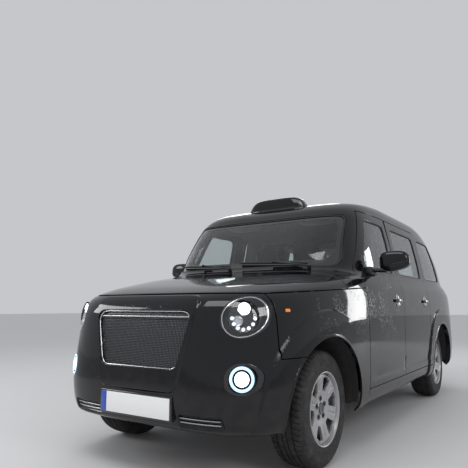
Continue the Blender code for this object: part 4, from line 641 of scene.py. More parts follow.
def metalFinish(name, color, roughness=0.3, metallic=1.0, rust=0.0):
    made = Finish(name, color, Metallic=metallic)
    grain = made.noise(160.0, 3.0)
    made.rough(made.spread(grain, 0.3, 0.7, roughness * 0.8, roughness * 1.25))
    worn = made.spread(made.noise(9.0, 6.0, 0.65), 0.48, 0.66, 0.0, 1.0)
    under = (0.16, 0.075, 0.035) if rust else tuple(c * 0.72 for c in color)
    made.color(made.blend(worn * max(rust, 0.25), color, under))
    made.normal(made.bump(grain, 0.05, 0.0006))
    return made.material


def glassFinish(name, tint, roughness=0.0):
    made = Finish(name, tint, Roughness=roughness, IOR=1.45, Transmission_Weight=1.0)
    smear = made.spread(made.noise(5.0, 4.0), 0.45, 0.8, 0.0, 0.03)
    made.rough(smear + roughness)
    bead = made.cells(150.0)
    wet = made.pick("ShaderNodeTexNoise", "Fac", None, Vector=made.spot, Scale=30.0, Detail=2.0).above(0.58)
    made.normal(made.bump(made.spread(bead, 0.0, 0.3, 1.0, 0.0) * wet, 0.12, 0.001))
    return made.material


def lampFinish(name, color, strength):
    made = Finish(name, color, Roughness=0.25)
    made.shader.inputs["Emission Color"].default_value = (*color, 1.0)
    made.shader.inputs["Emission Strength"].default_value = strength
    made.rough(made.spread(made.noise(60.0), 0.3, 0.7, 0.15, 0.35))
    return made.material


def clothFinish(name, color, scale=420.0):
    made = Finish(name, color, Sheen_Weight=0.25, Sheen_Roughness=0.5)
    waves = []
    for direction in "XZY":
        settings = {"wave_type": "BANDS", "bands_direction": direction}
        waves.append(made.pick("ShaderNodeTexWave", "Fac", settings, Vector=made.spot, Scale=scale))
    threads = waves[0] * 0.34 + waves[1] * 0.33 + waves[2] * 0.33
    made.color(made.blend(threads, tuple(c * 0.6 for c in color), tuple(c * 1.5 for c in color)))
    made.rough(made.spread(made.noise(25.0), 0.3, 0.7, 0.78, 0.95))
    made.normal(made.bump(threads, 0.35, 0.0008))
    return made.material


def leatherFinish(name, color):
    made = Finish(name, color)
    hide = made.cells(330.0, feature="SMOOTH_F1")
    fold = made.noise(24.0, 5.0, 0.6)
    made.color(made.blend(made.spread(fold, 0.35, 0.7, 0.0, 1.0), color, tuple(c * 1.5 + 0.004 for c in color)))
    made.rough(made.spread(fold, 0.3, 0.7, 0.42, 0.58))
    made.normal(made.bump(hide, 0.2, 0.0007, made.bump(fold, 0.15, 0.003)))
    return made.material


def tyreFinish(name):
    made = Finish(name, (0.016, 0.016, 0.017))
    dust = made.spread(made.noise(16.0, 6.0, 0.65), 0.4, 0.75, 0.0, 0.55)
    made.color(made.blend(dust, (0.013, 0.013, 0.014), (0.06, 0.056, 0.05)))
    made.rough(made.spread(made.noise(50.0, 3.0), 0.3, 0.7, 0.72, 0.92))
    made.normal(made.bump(made.noise(420.0, 2.0), 0.12, 0.0006))
    return made.material


def plateFinish(name, color):
    made = Finish(name, color, Roughness=0.35, Coat_Weight=0.6, Coat_Roughness=0.08)
    hexes = made.cells(520.0, feature="DISTANCE_TO_EDGE")
    made.color(made.blend(made.spread(hexes, 0.0, 0.06, 0.12, 0.0), color, tuple(c * 0.8 for c in color)))
    grime = made.spread(made.noise(20.0, 5.0), 0.5, 0.8, 0.0, 0.1)
    made.rough(grime + 0.32)
    made.normal(made.bump(hexes, 0.03, 0.0004))
    return made.material


def rimFinish(name):
    made = Finish(name, (0.5, 0.5, 0.515), Metallic=0.7)
    dust = made.spread(made.noise(9.0, 4.0, 0.5), 0.4, 0.8, 0.0, 0.5)
    made.color(made.blend(dust, (0.42, 0.42, 0.43), (0.25, 0.24, 0.225)))
    made.rough(made.spread(made.noise(60.0, 2.0), 0.3, 0.7, 0.3, 0.42))
    return made.material


paint = paintFinish("blackPaint")
paintDry = paintFinish("blackPaintDry", drops=False)
trimDark = plasticFinish("cabinTrim", (0.03, 0.031, 0.034), 0.62)
trimGrey = plasticFinish("cabinGrey", (0.095, 0.097, 0.102), 0.6)
headlining = clothFinish("headlining", (0.26, 0.26, 0.255), 260.0)
blackPlastic = plasticFinish("blackPlastic", (0.016, 0.016, 0.017), 0.46)
glossPlastic = plasticFinish("glossPlastic", (0.008, 0.008, 0.009), 0.14, 200.0, 0.01, Coat_Weight=0.6)
rubber = plasticFinish("rubberSeal", (0.012, 0.012, 0.012), 0.7, 1400.0, 0.1)
frit = plasticFinish("glassFrit", (0.004, 0.004, 0.004), 0.18, 300.0, 0.004, Coat_Weight=1.0)
tintedGlass = glassFinish("tintedGlass", (0.62, 0.68, 0.69))
screenGlass = glassFinish("screenGlass", (0.86, 0.9, 0.89))
lensGlass = glassFinish("lensGlass", (0.97, 0.98, 1.0))
redLens = plasticFinish("redLens", (0.42, 0.006, 0.006), 0.14, 400.0, 0.02, Coat_Weight=0.8)
amberLens = plasticFinish("amberLens", (0.8, 0.2, 0.012), 0.2, 400.0, 0.02, Coat_Weight=0.8)
chrome = metalFinish("brightMetal", (0.78, 0.79, 0.8), 0.09)
satinMetal = metalFinish("satinMetal", (0.52, 0.52, 0.53), 0.28)
steelDark = metalFinish("chassisSteel", (0.034, 0.034, 0.036), 0.6, 0.4, rust=0.12)
steelDisc = metalFinish("brakeDisc", (0.34, 0.33, 0.32), 0.3, rust=0.22)
alloy = rimFinish("wheelAlloy")
tyreRubber = tyreFinish("tyreRubber")
meshMetal = metalFinish("grilleMesh", (0.15, 0.152, 0.16), 0.34, 0.8)
whiteLight = lampFinish("lampWhite", (0.93, 0.97, 1.0), 4.0)
coolLight = lampFinish("lampCool", (0.46, 0.74, 1.0), 1.0)
dimLight = lampFinish("lampDim", (0.9, 0.93, 1.0), 0.9)
seatCloth = clothFinish("seatCloth", (0.03, 0.032, 0.04))
seatHide = leatherFinish("seatHide", (0.018, 0.018, 0.021))
floorMat = plasticFinish("floorMat", (0.03, 0.03, 0.032), 0.85, 300.0, 0.4)
plateWhite = plateFinish("plateWhite", (0.8, 0.81, 0.8))
plateYellow = plateFinish("plateYellow", (0.8, 0.56, 0.03))
plateBlue = plateFinish("plateBlue", (0.01, 0.06, 0.42))
yellowTrim = plasticFinish("gripYellow", (0.72, 0.48, 0.02), 0.45)
mirrorFace = metalFinish("mirrorFace", (0.8, 0.82, 0.84), 0.02)
print("finishes made")

# Panel outlines, as in the frame
edge, gap, cadGap = panelFinish["edge"], panelFinish["gap"], panelFinish["cadGap"]
spare = (cadGap - gap) / 2
windows = {"bottomZ": 1.195, "topZ": 1.605, "corner": 0.045, "frame": 0.085, "quarterRearY": 1.62,
           "quarterRake": 0.11}
sides = {"left": 1, "right": -1}
lamps = {
    "headX": 0.629, "headZ": 0.874, "headRadius": 0.112, "headRadiusX": 0.101,
    "fogX": 0.646, "fogZ": 0.56, "fogRadius": 0.08,
    "tailX": 0.715, "tailLowZ": 0.76, "tailHighZ": 1.08, "tailFrontY": 2.08, "tailCorner": 0.03,
}
grille = {"topZ": 0.905, "bottomZ": 0.59, "topX": 0.372, "bottomX": 0.285, "corner": 0.06}
rearDoorWay = [
    (cab["doorMiddleY"], cab["doorBottomZ"]), (cab["doorRearY"], cab["doorBottomZ"]),
    (cab["doorRearY"], cab["beltZ"]), (cab["doorRearY"] - cab["slant"], cab["doorTopZ"]),
    (cab["doorMiddleY"], cab["doorTopZ"]),
]


def frontDoorWay(rearY):
    return [
        (cab["doorFrontY"], cab["doorBottomZ"]), (rearY, cab["doorBottomZ"]), (rearY, cab["beltZ"]),
        (rearY, cab["doorTopZ"]), (cab["pillarTopY"], cab["doorTopZ"]), (cab["doorFrontY"], cab["beltZ"]),
    ]


frontDoorRearY = cab["doorMiddleY"] - gap - 2 * spare
frontWindowRearY = cab["doorMiddleY"] - 0.016 - windows["frame"]
frontWindow = [
    (cab["doorFrontY"] + windows["frame"] * 1.5, windows["bottomZ"]), (frontWindowRearY, windows["bottomZ"]),
    (frontWindowRearY, windows["topZ"]), (cab["pillarTopY"] + windows["frame"] * 0.65, windows["topZ"]),
]
rearWindow = [
    (cab["doorMiddleY"] + windows["frame"], windows["bottomZ"]),
    (cab["doorRearY"] - windows["frame"], windows["bottomZ"]),
    (cab["doorRearY"] - windows["frame"], windows["topZ"]),
    (cab["doorMiddleY"] + windows["frame"], windows["topZ"]),
]
quarterWindow = [
    (cab["doorRearY"] + windows["frame"], windows["bottomZ"]), (windows["quarterRearY"], windows["bottomZ"]),
    (windows["quarterRearY"] - windows["quarterRake"], windows["topZ"]),
    (cab["doorRearY"] + windows["frame"], windows["topZ"]),
]
screen = [(-0.735, 1.212), (0.735, 1.212), (0.69, 1.628), (-0.69, 1.628)]
tailgateWay = [(-0.66, 0.563), (0.66, 0.563), (0.69, 1.18), (0.6, 1.64), (-0.6, 1.64), (-0.69, 1.18)]
tailWindow = [(-0.61, 1.165), (0.61, 1.165), (0.535, 1.56), (-0.535, 1.56)]
grilleWay = [
    (-grille["bottomX"], grille["bottomZ"]), (grille["bottomX"], grille["bottomZ"]),
    (grille["topX"], grille["topZ"]), (-grille["topX"], grille["topZ"]),
]
tailSide = [
    (lamps["tailFrontY"], lamps["tailLowZ"]), (2.6, lamps["tailLowZ"]),
    (2.6, lamps["tailHighZ"]), (lamps["tailFrontY"], lamps["tailHighZ"]),
]
tailEnd = [(lamps["tailX"], 0.6), (1.2, 0.6), (1.2, 1.3), (lamps["tailX"], 1.3)]
shoulderRise = (cab["shoulderRearZ"] - cab["shoulderFrontZ"]) / (cab["doorFrontY"] - cab["wingFrontY"])
wholeSide = (-3.0, 3.0, -1.0, 3.0)


def headOutline(grow):
    centre = (lamps["headX"], lamps["headZ"])
    return ellipse(centre, lamps["headRadiusX"] + grow, lamps["headRadius"] + grow)


def shoulderZ(y):
    return cab["shoulderFrontZ"] + shoulderRise * (max(y, cab["wingFrontY"]) - cab["wingFrontY"])


def windowShape(points, grow=0.0):
    return rounded(grown(points, grow), windows["corner"] * 1.4)


def atFront(c):
    return c.y < -0.5


def atBack(c):
    return c.y > 1.45


def onSide(c):
    return abs(c.x) > 0.45


def arch(axleY, extra=0.0):
    return circle((axleY, cab["axleZ"]), cab["archRadius"] + extra, 72)


def scoreFlares(bm, *axles):
    # edges along the flare and the arch lip, so that their creases stay crisp
    for axleY in axles:
        for radius, band in ((relief["flareRadius"], relief["flareBand"]),
                             (relief["lipRadius"], relief["lipBand"])):
            for share in (0.0, 0.5, 1.0):
                scoreLine(bm, circle((axleY, cab["axleZ"]), radius - band * share, 72), "side", onSide)


def scoreSill(bm):
    for rise in (0.0, relief["sillBand"], 0.065, relief["sillTop"]):
        z = relief["sillZ"] + rise
        scoreLine(bm, [(-3, -1), (3, -1), (3, z), (-3, z)], "side")


def makePanel(name, patch, side, body, replaced, depth, mirrored=False, materials=None, sunk=0.0, plain=False,
              slotName="black_paint"):
    if mirrored:
        mirrorOver(patch)
    elif side < 0:
        turnOver(patch)
    mesh = meshFromPanel(asPanel(patch, depth, edge, sunk, plain), name, materials or (paint, paintDry))
    return place(name, mesh, body, replaced, slotName)


def wingPatch():
    bm = skinPatch((-2.15, -0.9, -1.0, 1.15))
    rearY, frontY = cab["doorFrontY"] - cadGap, cab["wingFrontY"]
    outline = [(frontY, -1.0), (rearY, -1.0), (rearY, shoulderZ(rearY) - cadGap),
               (frontY, shoulderZ(frontY) - cadGap)]
    keepInside(bm, grown(outline, spare - edge), "side")
    low = cab["bumperTopZ"] - spare + edge
    cutHole(bm, [(-3.0, -1.0), (cab["frontAxleY"], -1.0), (cab["frontAxleY"], low), (-3.0, low)], "side")
    cutHole(bm, arch(cab["frontAxleY"], edge), "side", onSide)
    scoreFlares(bm, cab["frontAxleY"])
    return bm


def bumperPatch():
    bm = skinPatch((-2.4, cab["frontAxleY"], -1.0, 1.1))
    top = cab["shoulderFrontZ"] - cadGap + spare - edge
    keepInside(bm, [(-3.0, -1.0), (cab["frontAxleY"] - 0.05, -1.0), (cab["frontAxleY"] - 0.05, top), (-3.0, top)],
               "side")
    y, z = cab["wingFrontY"] - cadGap + spare - edge, cab["bumperTopZ"] - cadGap + spare - edge
    cutHole(bm, [(y, z), (-1.0, z), (-1.0, 2.0), (y, 2.0)], "side")
    cutHole(bm, arch(cab["frontAxleY"], edge), "side", onSide)
    cutHole(bm, headOutline(edge), "end", atFront)
    cutHole(bm, circle((lamps["fogX"], lamps["fogZ"]), lamps["fogRadius"] + edge), "end", atFront)
    cutHole(bm, rounded(grown(grilleWay, edge), grille["corner"]), "end", atFront)
    scoreFlares(bm, cab["frontAxleY"])
    for share in (0.0, 0.34, 0.67, 1.0):
        scoreLine(bm, rounded(grown(relief["shield"], relief["shieldBand"] * share), relief["shieldCorner"]),
                  "end", atFront)
        scoreLine(bm, rounded(grown(relief["slot"], relief["slotBand"] * (share - 0.5)), 0.016), "end", atFront)
    return bm


def bonnetPatch():
    bm = skinPatch((-2.4, -1.2, 0.9, 1.4))
    y = cab["bonnetRearY"]
    outline = [(-3.0, shoulderZ(-3.0)), (cab["wingFrontY"], shoulderZ(-3.0)), (y, shoulderZ(y)), (y, 2.0),
               (-3.0, 2.0)]
    keepInside(bm, grown(outline, spare - edge), "side")
    return bm


def doorPatch(way, window, archY=None):
    bm = skinPatch((min(p[0] for p in way) - 0.1, max(p[0] for p in way) + 0.1, 0.25, 1.8))
    keepInside(bm, rounded(grown(way, spare - edge), 0.014, 3), "side")
    inner = [f for f in bm.faces if f.calc_center_median().x < 0.3]
    bmesh.ops.delete(bm, geom=inner, context="FACES")
    cutHole(bm, windowShape(window, edge), "side")
    if archY is not None:
        cutHole(bm, arch(archY, spare + edge + 0.008), "side")
        scoreFlares(bm, archY)
    scoreSill(bm)
    return bm


def shellPatch():
    bm = skinPatch(wholeSide)
    free = spare + gap + edge
    y = cab["bonnetRearY"] + cadGap - spare + edge
    cutHole(bm, [(-3.0, -1.0), (y, -1.0), (y, 3.0), (-3.0, 3.0)], "side")
    rearY = cab["doorFrontY"] - cadGap + spare + gap + edge
    low = [(-1.6, -1.0), (rearY, -1.0), (rearY, shoulderZ(rearY) - spare + edge),
           (-1.6, shoulderZ(-1.6) - spare + edge)]
    cutHole(bm, low, "side")
    cutHole(bm, rounded(grown(frontDoorWay(cab["doorMiddleY"]), free), 0.02, 3), "side", onSide)
    cutHole(bm, rounded(grown(rearDoorWay, free), 0.02, 3), "side", onSide)
    cutHole(bm, windowShape(quarterWindow, edge), "side", onSide)
    cutHole(bm, windowShape(screen, edge), "end", lambda c: c.y < -0.4)
    cutHole(bm, arch(cab["rearAxleY"], edge), "side", onSide)
    cutHole(bm, rounded(grown(tailgateWay, free), 0.02, 3), "end", atBack)
    rearZ, bumperY = cab["rearBumperTopZ"] + free, cab["rearBumperY"] - free
    cutHole(bm, [(bumperY, -1.0), (3.0, -1.0), (3.0, rearZ), (bumperY, rearZ)], "side")
    near = splitFaces(bm, bm.faces[:], rounded(grown(tailSide, edge), lamps["tailCorner"]), "side")[0]
    bmesh.ops.delete(bm, geom=splitFaces(bm, near, grown(tailEnd, edge), "end")[0], context="FACES")
    scoreFlares(bm, cab["rearAxleY"])
    return bm


def tailgatePatch():
    bm = skinPatch((1.45, 3.0, 0.45, 1.8))
    bmesh.ops.delete(bm, geom=[f for f in bm.faces if f.calc_center_median().y < 1.45], context="FACES")
    keepInside(bm, rounded(grown(tailgateWay, spare - edge), 0.02, 3), "end")
    cutHole(bm, windowShape(tailWindow, edge), "end")
    return bm


def rearBumperPatch():
    bm = skinPatch((1.8, 3.0, -1.0, 0.65))
    outline = [(cab["rearBumperY"], -1.0), (3.0, -1.0), (3.0, cab["rearBumperTopZ"]),
               (cab["rearBumperY"], cab["rearBumperTopZ"])]
    keepInside(bm, grown(outline, spare - edge), "side")
    return bm


thin, thick = panelFinish["thin"], panelFinish["thick"]
for word, side in sides.items():
    makePanel(f"wingPanel_{word}", wingPatch(), side, "body", [f"wing_{word}"], thin)
    makePanel(f"frontDoorPanel_{word}", doorPatch(frontDoorWay(frontDoorRearY), frontWindow), side,
              f"front_door_{word}", [f"door_front_{word}"], thick)
    makePanel(f"rearDoorPanel_{word}", doorPatch(rearDoorWay, rearWindow, cab["rearAxleY"]), side,
              f"rear_door_{word}", [f"door_rear_{word}"], thick)
print("wings and doors made")
makePanel("bumperPanel", bumperPatch(), 1, "body", ["front_bumper"], thin, mirrored=True)
makePanel("bonnetPanel", bonnetPatch(), 1, "bonnet_lid", ["bonnet"], thin, mirrored=True)
makePanel("shellPanel", shellPatch(), 1, "body", ["body_shell"], thick, mirrored=True, materials=(paint, trimGrey))
makePanel("tailgatePanel", tailgatePatch(), 1, "tailgate_lid", ["tailgate"], thick, mirrored=True)
makePanel("rearBumperPanel", rearBumperPatch(), 1, "body", ["rear_bumper"], thin, mirrored=True)
print("main panels made")


# Small solids, each added to a bmesh with its own material number
def addMesh(bm, mesh, number=0):
    start = len(bm.faces)
    bm.from_mesh(mesh)
    bpy.data.meshes.remove(mesh)
    bm.faces.ensure_lookup_table()
    for face in bm.faces[start:]:
        face.material_index = number


def shift(bm, vec):
    bmesh.ops.translate(bm, vec=vec, verts=bm.verts)


def addBox(bm, low, high, radius=0.0, number=0, segments=3, turn=None):
    part = bmesh.new()
    bmesh.ops.create_cube(part, size=1.0)
    low, high = Vector(low), Vector(high)
    bmesh.ops.scale(part, vec=high - low, verts=part.verts)
    if radius:
        bmesh.ops.bevel(part, geom=part.edges[:], offset=radius, segments=segments, profile=0.5, affect="EDGES",
                        material=-1)
    if turn is not None:
        bmesh.ops.transform(part, matrix=turn.to_4x4(), verts=part.verts)
    shift(part, (low + high) / 2)
    addPart(bm, part, number)


def addPart(bm, part, number=0, matrix=None):
    if matrix is not None:
        bmesh.ops.transform(part, matrix=matrix, verts=part.verts)
    mesh = bpy.data.meshes.new("part")
    part.to_mesh(mesh)
    part.free()
    addMesh(bm, mesh, number)


def addRod(bm, start, end, radius, number=0, steps=24, bevel=0.0):
    start, end = Vector(start), Vector(end)
    way = end - start
    part = bmesh.new()
    bmesh.ops.create_cone(part, cap_ends=True, segments=steps, radius1=radius, radius2=radius, depth=way.length)
    if bevel:
        rims = [e for e in part.edges if len(e.link_faces) == 2 and e.calc_face_angle() > 1.0]
        bmesh.ops.bevel(part, geom=rims, offset=bevel, segments=3, profile=0.5, affect="EDGES", material=-1)
    turned = way.to_track_quat("Z", "Y").to_matrix().to_4x4()
    addPart(bm, part, number, Matrix.Translation((start + end) / 2) @ turned)


def addSpun(bm, profile, matrix, number=0, steps=48):
    # spins (radius, height) points about the matrix's Z axis
    part = bmesh.new()
    corners = [part.verts.new((radius, 0, height)) for radius, height in profile]
    for a, b in zip(corners, corners[1:]):
        part.edges.new((a, b))
    bmesh.ops.spin(part, geom=part.verts[:] + part.edges[:], cent=(0, 0, 0), axis=(0, 0, 1), angle=2 * math.pi,
                   steps=steps, use_merge=True, use_duplicate=False)
    bmesh.ops.remove_doubles(part, verts=part.verts, dist=1e-6)
    bmesh.ops.recalc_face_normals(part, faces=part.faces)
    shadeSmooth(part, 34)
    addPart(bm, part, number, matrix)


def addTube(bm, points, radius, number=0, closed=False, sides=3):
    # a round bar that follows the points
    curve = bpy.data.curves.new("path", "CURVE")
    curve.dimensions, curve.bevel_depth, curve.bevel_resolution = "3D", radius, sides
    curve.use_fill_caps = not closed
    spline = curve.splines.new("POLY")
    spline.points.add(len(points) - 1)
    for spot, point in zip(spline.points, points):
        spot.co = (*point, 1.0)
    spline.use_cyclic_u = closed
    holder = bpy.data.objects.new("path", curve)
    mesh = bpy.data.meshes.new_from_object(holder)
    bpy.data.objects.remove(holder)
    bpy.data.curves.remove(curve)
    for polygon in mesh.polygons:
        polygon.use_smooth = True
    addMesh(bm, mesh, number)


def outward(bm):
    bmesh.ops.recalc_face_normals(bm, faces=bm.faces)
    return bm


def skinPiece(zone, outline, view, hole=None, only=None):
    bm = skinPatch(zone)
    if only is not None:
        bmesh.ops.delete(bm, geom=[f for f in bm.faces if not only(f.calc_center_median())], context="FACES")
    keepInside(bm, outline, view)
    if hole:
        cutHole(bm, hole, view)
    return bm


def addSkin(bm, patch, depth, soft, sunk, number=0, mirrored=False):
    # gives a patch of skin its depth, and adds it to a bmesh
    if mirrored:
        mirrorOver(patch)
    panel = asPanel(patch, depth, soft, sunk, plain=True)
    for face in panel.faces:
        face.material_index = number
        face.smooth = True
    shadeSmooth(panel, 40)
    mesh = bpy.data.meshes.new("part")
    panel.to_mesh(mesh)
    panel.free()
    for layer in ("base", "out", "facing", "deep", "kind"):
        mesh.attributes.remove(mesh.attributes[layer])
    bm.from_mesh(mesh)
    bpy.data.meshes.remove(mesh)


def alongSkin(points, view, sunk=0.0, side=1):
    # places on the skin above an outline, for a bar that follows it
    made = []
    for point in points:
        if view == "side":
            spot, way = skinHit((1.6 * side, point[0], point[1]), (-side, 0, 0))
        else:
            spot, way = skinHit((point[0], -3.0 if view == "end" else 3.0, point[1]),
                                (0, 1 if view == "end" else -1, 0))
        made.append(spot - way * sunk)
    return made


def denser(points, step, closed=True):
    made = []
    for i, a in enumerate(points if closed else points[:-1]):
        a, b = Vector(a), Vector(points[(i + 1) % len(points)])
        count = max(1, int((b - a).length / step))
        made += [a.lerp(b, k / count) for k in range(count)]
    return made if closed else made + [Vector(points[-1])]


# Glass: panes a little inside the skin, with a printed border, and a rubber seal round each
panes = {"sunk": 0.009, "depth": 0.005, "edge": 0.001, "border": 0.02, "sealSunk": 0.003, "sealDepth": 0.012,
         "sealWidth": 0.008}


def makePane(name, node, zone, window, view, body, side=1, mirrored=False, glass=None, clear=None, only=None):
    patch = skinPiece(zone, windowShape(window, -0.002), view, only=only)
    clearWay = rounded(clear, 0.09) if clear else windowShape(window, -panes["border"])
    inner = scoreLine(patch, clearWay, view)
    for face in patch.faces:
        face.material_index = 2
    for face in inner:
        face.material_index = 0
    if mirrored:
        mirrorOver(patch)
    elif side < 0:
        turnOver(patch)
    mesh = meshFromPanel(asPanel(patch, panes["depth"], panes["edge"], panes["sunk"], True), name,
                         (glass, glass, frit))
    place(name, mesh, body, [node], "tinted_glass")
    seal = skinPiece(zone, windowShape(window, -0.001), view, windowShape(window, -panes["sealWidth"]), only)
    if mirrored:
        mirrorOver(seal)
    elif side < 0:
        turnOver(seal)
    mesh = meshFromPanel(asPanel(seal, panes["sealDepth"], 0.001, panes["sealSunk"], True), name + "Seal",
                         (rubber, rubber))
    place(name + "Seal", mesh, body)


for word, side in sides.items():
    makePane(f"frontDoorPane_{word}", f"door_glass_front_{word}", (-1.0, 0.0, 1.1, 1.7), frontWindow, "side",
             f"front_door_{word}", side, glass=tintedGlass)
    makePane(f"rearDoorPane_{word}", f"door_glass_rear_{word}", (-0.1, 0.9, 1.1, 1.7), rearWindow, "side",
             f"rear_door_{word}", side, glass=tintedGlass)
    makePane(f"quarterPane_{word}", f"quarter_glass_{word}", (0.85, 1.75, 1.1, 1.7), quarterWindow, "side",
             "body", side, glass=tintedGlass)
makePane("screenPane", "windscreen", (-1.7, -0.4, 1.1, 1.72), screen, "end", "body", mirrored=True,
         glass=screenGlass, clear=[(-0.695, 1.262), (0.695, 1.262), (0.652, 1.596), (-0.652, 1.596)])
makePane("tailPane", "tailgate_glass", (1.45, 3.0, 1.05, 1.7), tailWindow, "end", "tailgate_lid", mirrored=True,
         glass=tintedGlass)
print("glass made")

# The frame behind the doors, the lining of the roof and the trim inside the doors
lining = {
    "frameSunk": 0.047, "frameDepth": 0.035, "overlap": 0.024, "cardSunk": 0.0445, "cardDepth": 0.022,
    "armrestZ": 0.86, "pullZ": 1.08, "speakerZ": 0.6, "speakerRadius": 0.075,
}


def framePatch():
    bm = skinPatch((-1.02, 0.97, 0.335, 1.74))
    keepInside(bm, rounded([(-1.0, 0.345), (0.93, 0.345), (0.93, 1.72), (-0.68, 1.72), (-1.0, 1.22)], 0.02, 3),
               "side")
    bmesh.ops.delete(bm, geom=[f for f in bm.faces if f.calc_center_median().x < 0.45], context="FACES")
    cutHole(bm, rounded(grown(frontDoorWay(frontDoorRearY), -lining["overlap"]), 0.04), "side")
    cutHole(bm, rounded(grown(rearDoorWay, -lining["overlap"]), 0.04), "side")
    cutHole(bm, arch(cab["rearAxleY"], 0.01), "side")
    return bm


def cardPatch(way):
    outline = [(p[0], min(p[1], 1.165)) for p in way if p[1] < 1.2]
    bm = skinPiece((-1.0, 0.95, 0.35, 1.3), rounded(grown(outline, -0.03), 0.05), "side")
    cutHole(bm, arch(cab["rearAxleY"], 0.055), "side")
    return bm


liningPatch = skinPatch((-0.75, 1.95, 1.55, 2.0))
keepInside(liningPatch, rounded([(-0.66, -0.56), (0.66, -0.56), (0.62, 1.7), (-0.62, 1.7)], 0.1), "plan")
mirrorOver(liningPatch)
liningPanel = asPanel(liningPatch, 0.008, 0.002, 0.048, True)
place("roofLining", meshFromPanel(liningPanel, "roofLining", (headlining, headlining)), "body")
for word, side in sides.items():
    makePanel(f"doorFrame_{word}", framePatch(), side, "body", (), lining["frameDepth"],
              materials=(paintDry, trimGrey), sunk=lining["frameSunk"], plain=True, slotName=None)
    for end, way in (("front", frontDoorWay(frontDoorRearY)), ("rear", rearDoorWay)):
        makePanel(f"{end}DoorCard_{word}", cardPatch(way), side, f"{end}_door_{word}", (), lining["cardDepth"],
                  materials=(trimDark, trimGrey), sunk=lining["cardSunk"], plain=True, slotName=None)
        fitting = bmesh.new()
        middleY = (way[0][0] + way[1][0]) / 2
        armZ, pullZ, speaker = lining["armrestZ"], lining["pullZ"], (middleY - 0.22, lining["speakerZ"])
        spot = skinHit((1.6, middleY, armZ), (-1, 0, 0))[0]
        x = spot.x - lining["cardSunk"] - lining["cardDepth"]
        addBox(fitting, (x - 0.045, middleY - 0.2, armZ - 0.025), (x + 0.008, middleY + 0.2, armZ + 0.025), 0.014)
        pull = ((0.004, -0.06), (-0.038, -0.04), (-0.038, 0.04), (0.004, 0.06))
        addTube(fitting, [(x + u, middleY + 0.24, pullZ + v) for u, v in pull], 0.011, 1)
        addRod(fitting, (x + 0.004, *speaker), (x - 0.006, *speaker), lining["speakerRadius"], 2, 32, bevel=0.003)
        outward(fitting)
        if side < 0:
            turnOver(fitting)
        shadeSmooth(fitting)
        place(f"{end}DoorFitting_{word}", fitting, f"{end}_door_{word}",
              materials=(trimDark, yellowTrim, blackPlastic))
print("frame, lining and door trim made")

# Lamps. Each sits in its own hole and faces the way that the skin does there
headlamp = {"headTurn": 0.55, "ledCount": 7, "ledCircle": 0.066}


def turnTo(across, way):
    # the turn that brings X to across and Z to way
    return Matrix((across, way.cross(across), way)).transposed().to_4x4()


def lampSeat(x, z, turn, sunk=0.0):
    spot, way = skinHit((x, -3.0, z), (0, 1, 0))
    way = Vector((0, -1, 0)).lerp(way, turn).normalized()
    across = Vector((0, 0, 1)).cross(way).normalized()
    return Matrix.Translation(spot - way * sunk) @ turnTo(across, way)


headZone, fogZone = (-2.4, -1.8, 0.7, 1.05), (-2.4, -1.7, 0.44, 0.7)


def makeHeadlamp(word, side):
    bm = bmesh.new()
    # housing: a dark well, a bright trim ring at its mouth, and a clear lens over it
    addSkin(bm, skinPiece(headZone, headOutline(-0.0004), "end", headOutline(-0.0032)), 0.006, 0.0008, 0.001, 1)
    addSkin(bm, skinPiece(headZone, headOutline(-0.005), "end", headOutline(-0.0082)), 0.004, 0.0008, 0.0045, 0)
    addSkin(bm, skinPiece(headZone, headOutline(-0.0015), "end", headOutline(-0.005)), 0.055, 0.0005, 0.006, 1)
    addSkin(bm, skinPiece(headZone, headOutline(-0.003), "end"), 0.004, 0.0005, 0.06, 1)
    addSkin(bm, skinPiece(headZone, headOutline(-0.0045), "end"), 0.003, 0.001, 0.0008, 2)
    seat = lampSeat(lamps["headX"], lamps["headZ"], headlamp["headTurn"])
    # dished bowl behind the lens, then the projector and its lit glass
    addSpun(bm, [(0.088, -0.016), (0.082, -0.03), (0.06, -0.042), (0.02, -0.048), (0.0, -0.048)], seat, 3)
    projector = seat @ Matrix.Translation((0.004, 0.044, 0))
    addSpun(bm, [(0.037, -0.046), (0.037, -0.02), (0.034, -0.016), (0.031, -0.018), (0.029, -0.026),
                 (0.029, -0.034)], projector, 0)
    addSpun(bm, [(0.029, -0.026), (0.026, -0.018), (0.018, -0.012), (0.008, -0.009), (0.0, -0.0085)], projector, 4)
    main = seat @ Matrix.Translation((-0.03, -0.02, 0))
    addSpun(bm, [(0.03, -0.046), (0.027, -0.03), (0.024, -0.029), (0.02, -0.038), (0.0, -0.044)], main, 0)
    for i in range(headlamp["ledCount"]):
        angle = math.radians(186 + 168 * i / (headlamp["ledCount"] - 1))
        reach = headlamp["ledCircle"]
        led = seat @ Matrix.Translation((reach * math.cos(angle) * 0.95, reach * math.sin(angle), 0))
        addSpun(bm, [(0.0135, -0.042), (0.0125, -0.026), (0.01, -0.024), (0.0085, -0.03), (0.0, -0.033)], led,
                0, 24)
        addSpun(bm, [(0.0085, -0.031), (0.006, -0.0255), (0.0, -0.0235)], led, 5, 24)
    outward(bm)
    if side < 0:
        turnOver(bm)
    place(f"headlampUnit_{word}", bm, "body", [f"headlamp_{word}"], "lamp_lens",
          (chrome, blackPlastic, lensGlass, glossPlastic, whiteLight, dimLight))


def fogOutline(grow):
    return circle((lamps["fogX"], lamps["fogZ"]), lamps["fogRadius"] + grow)


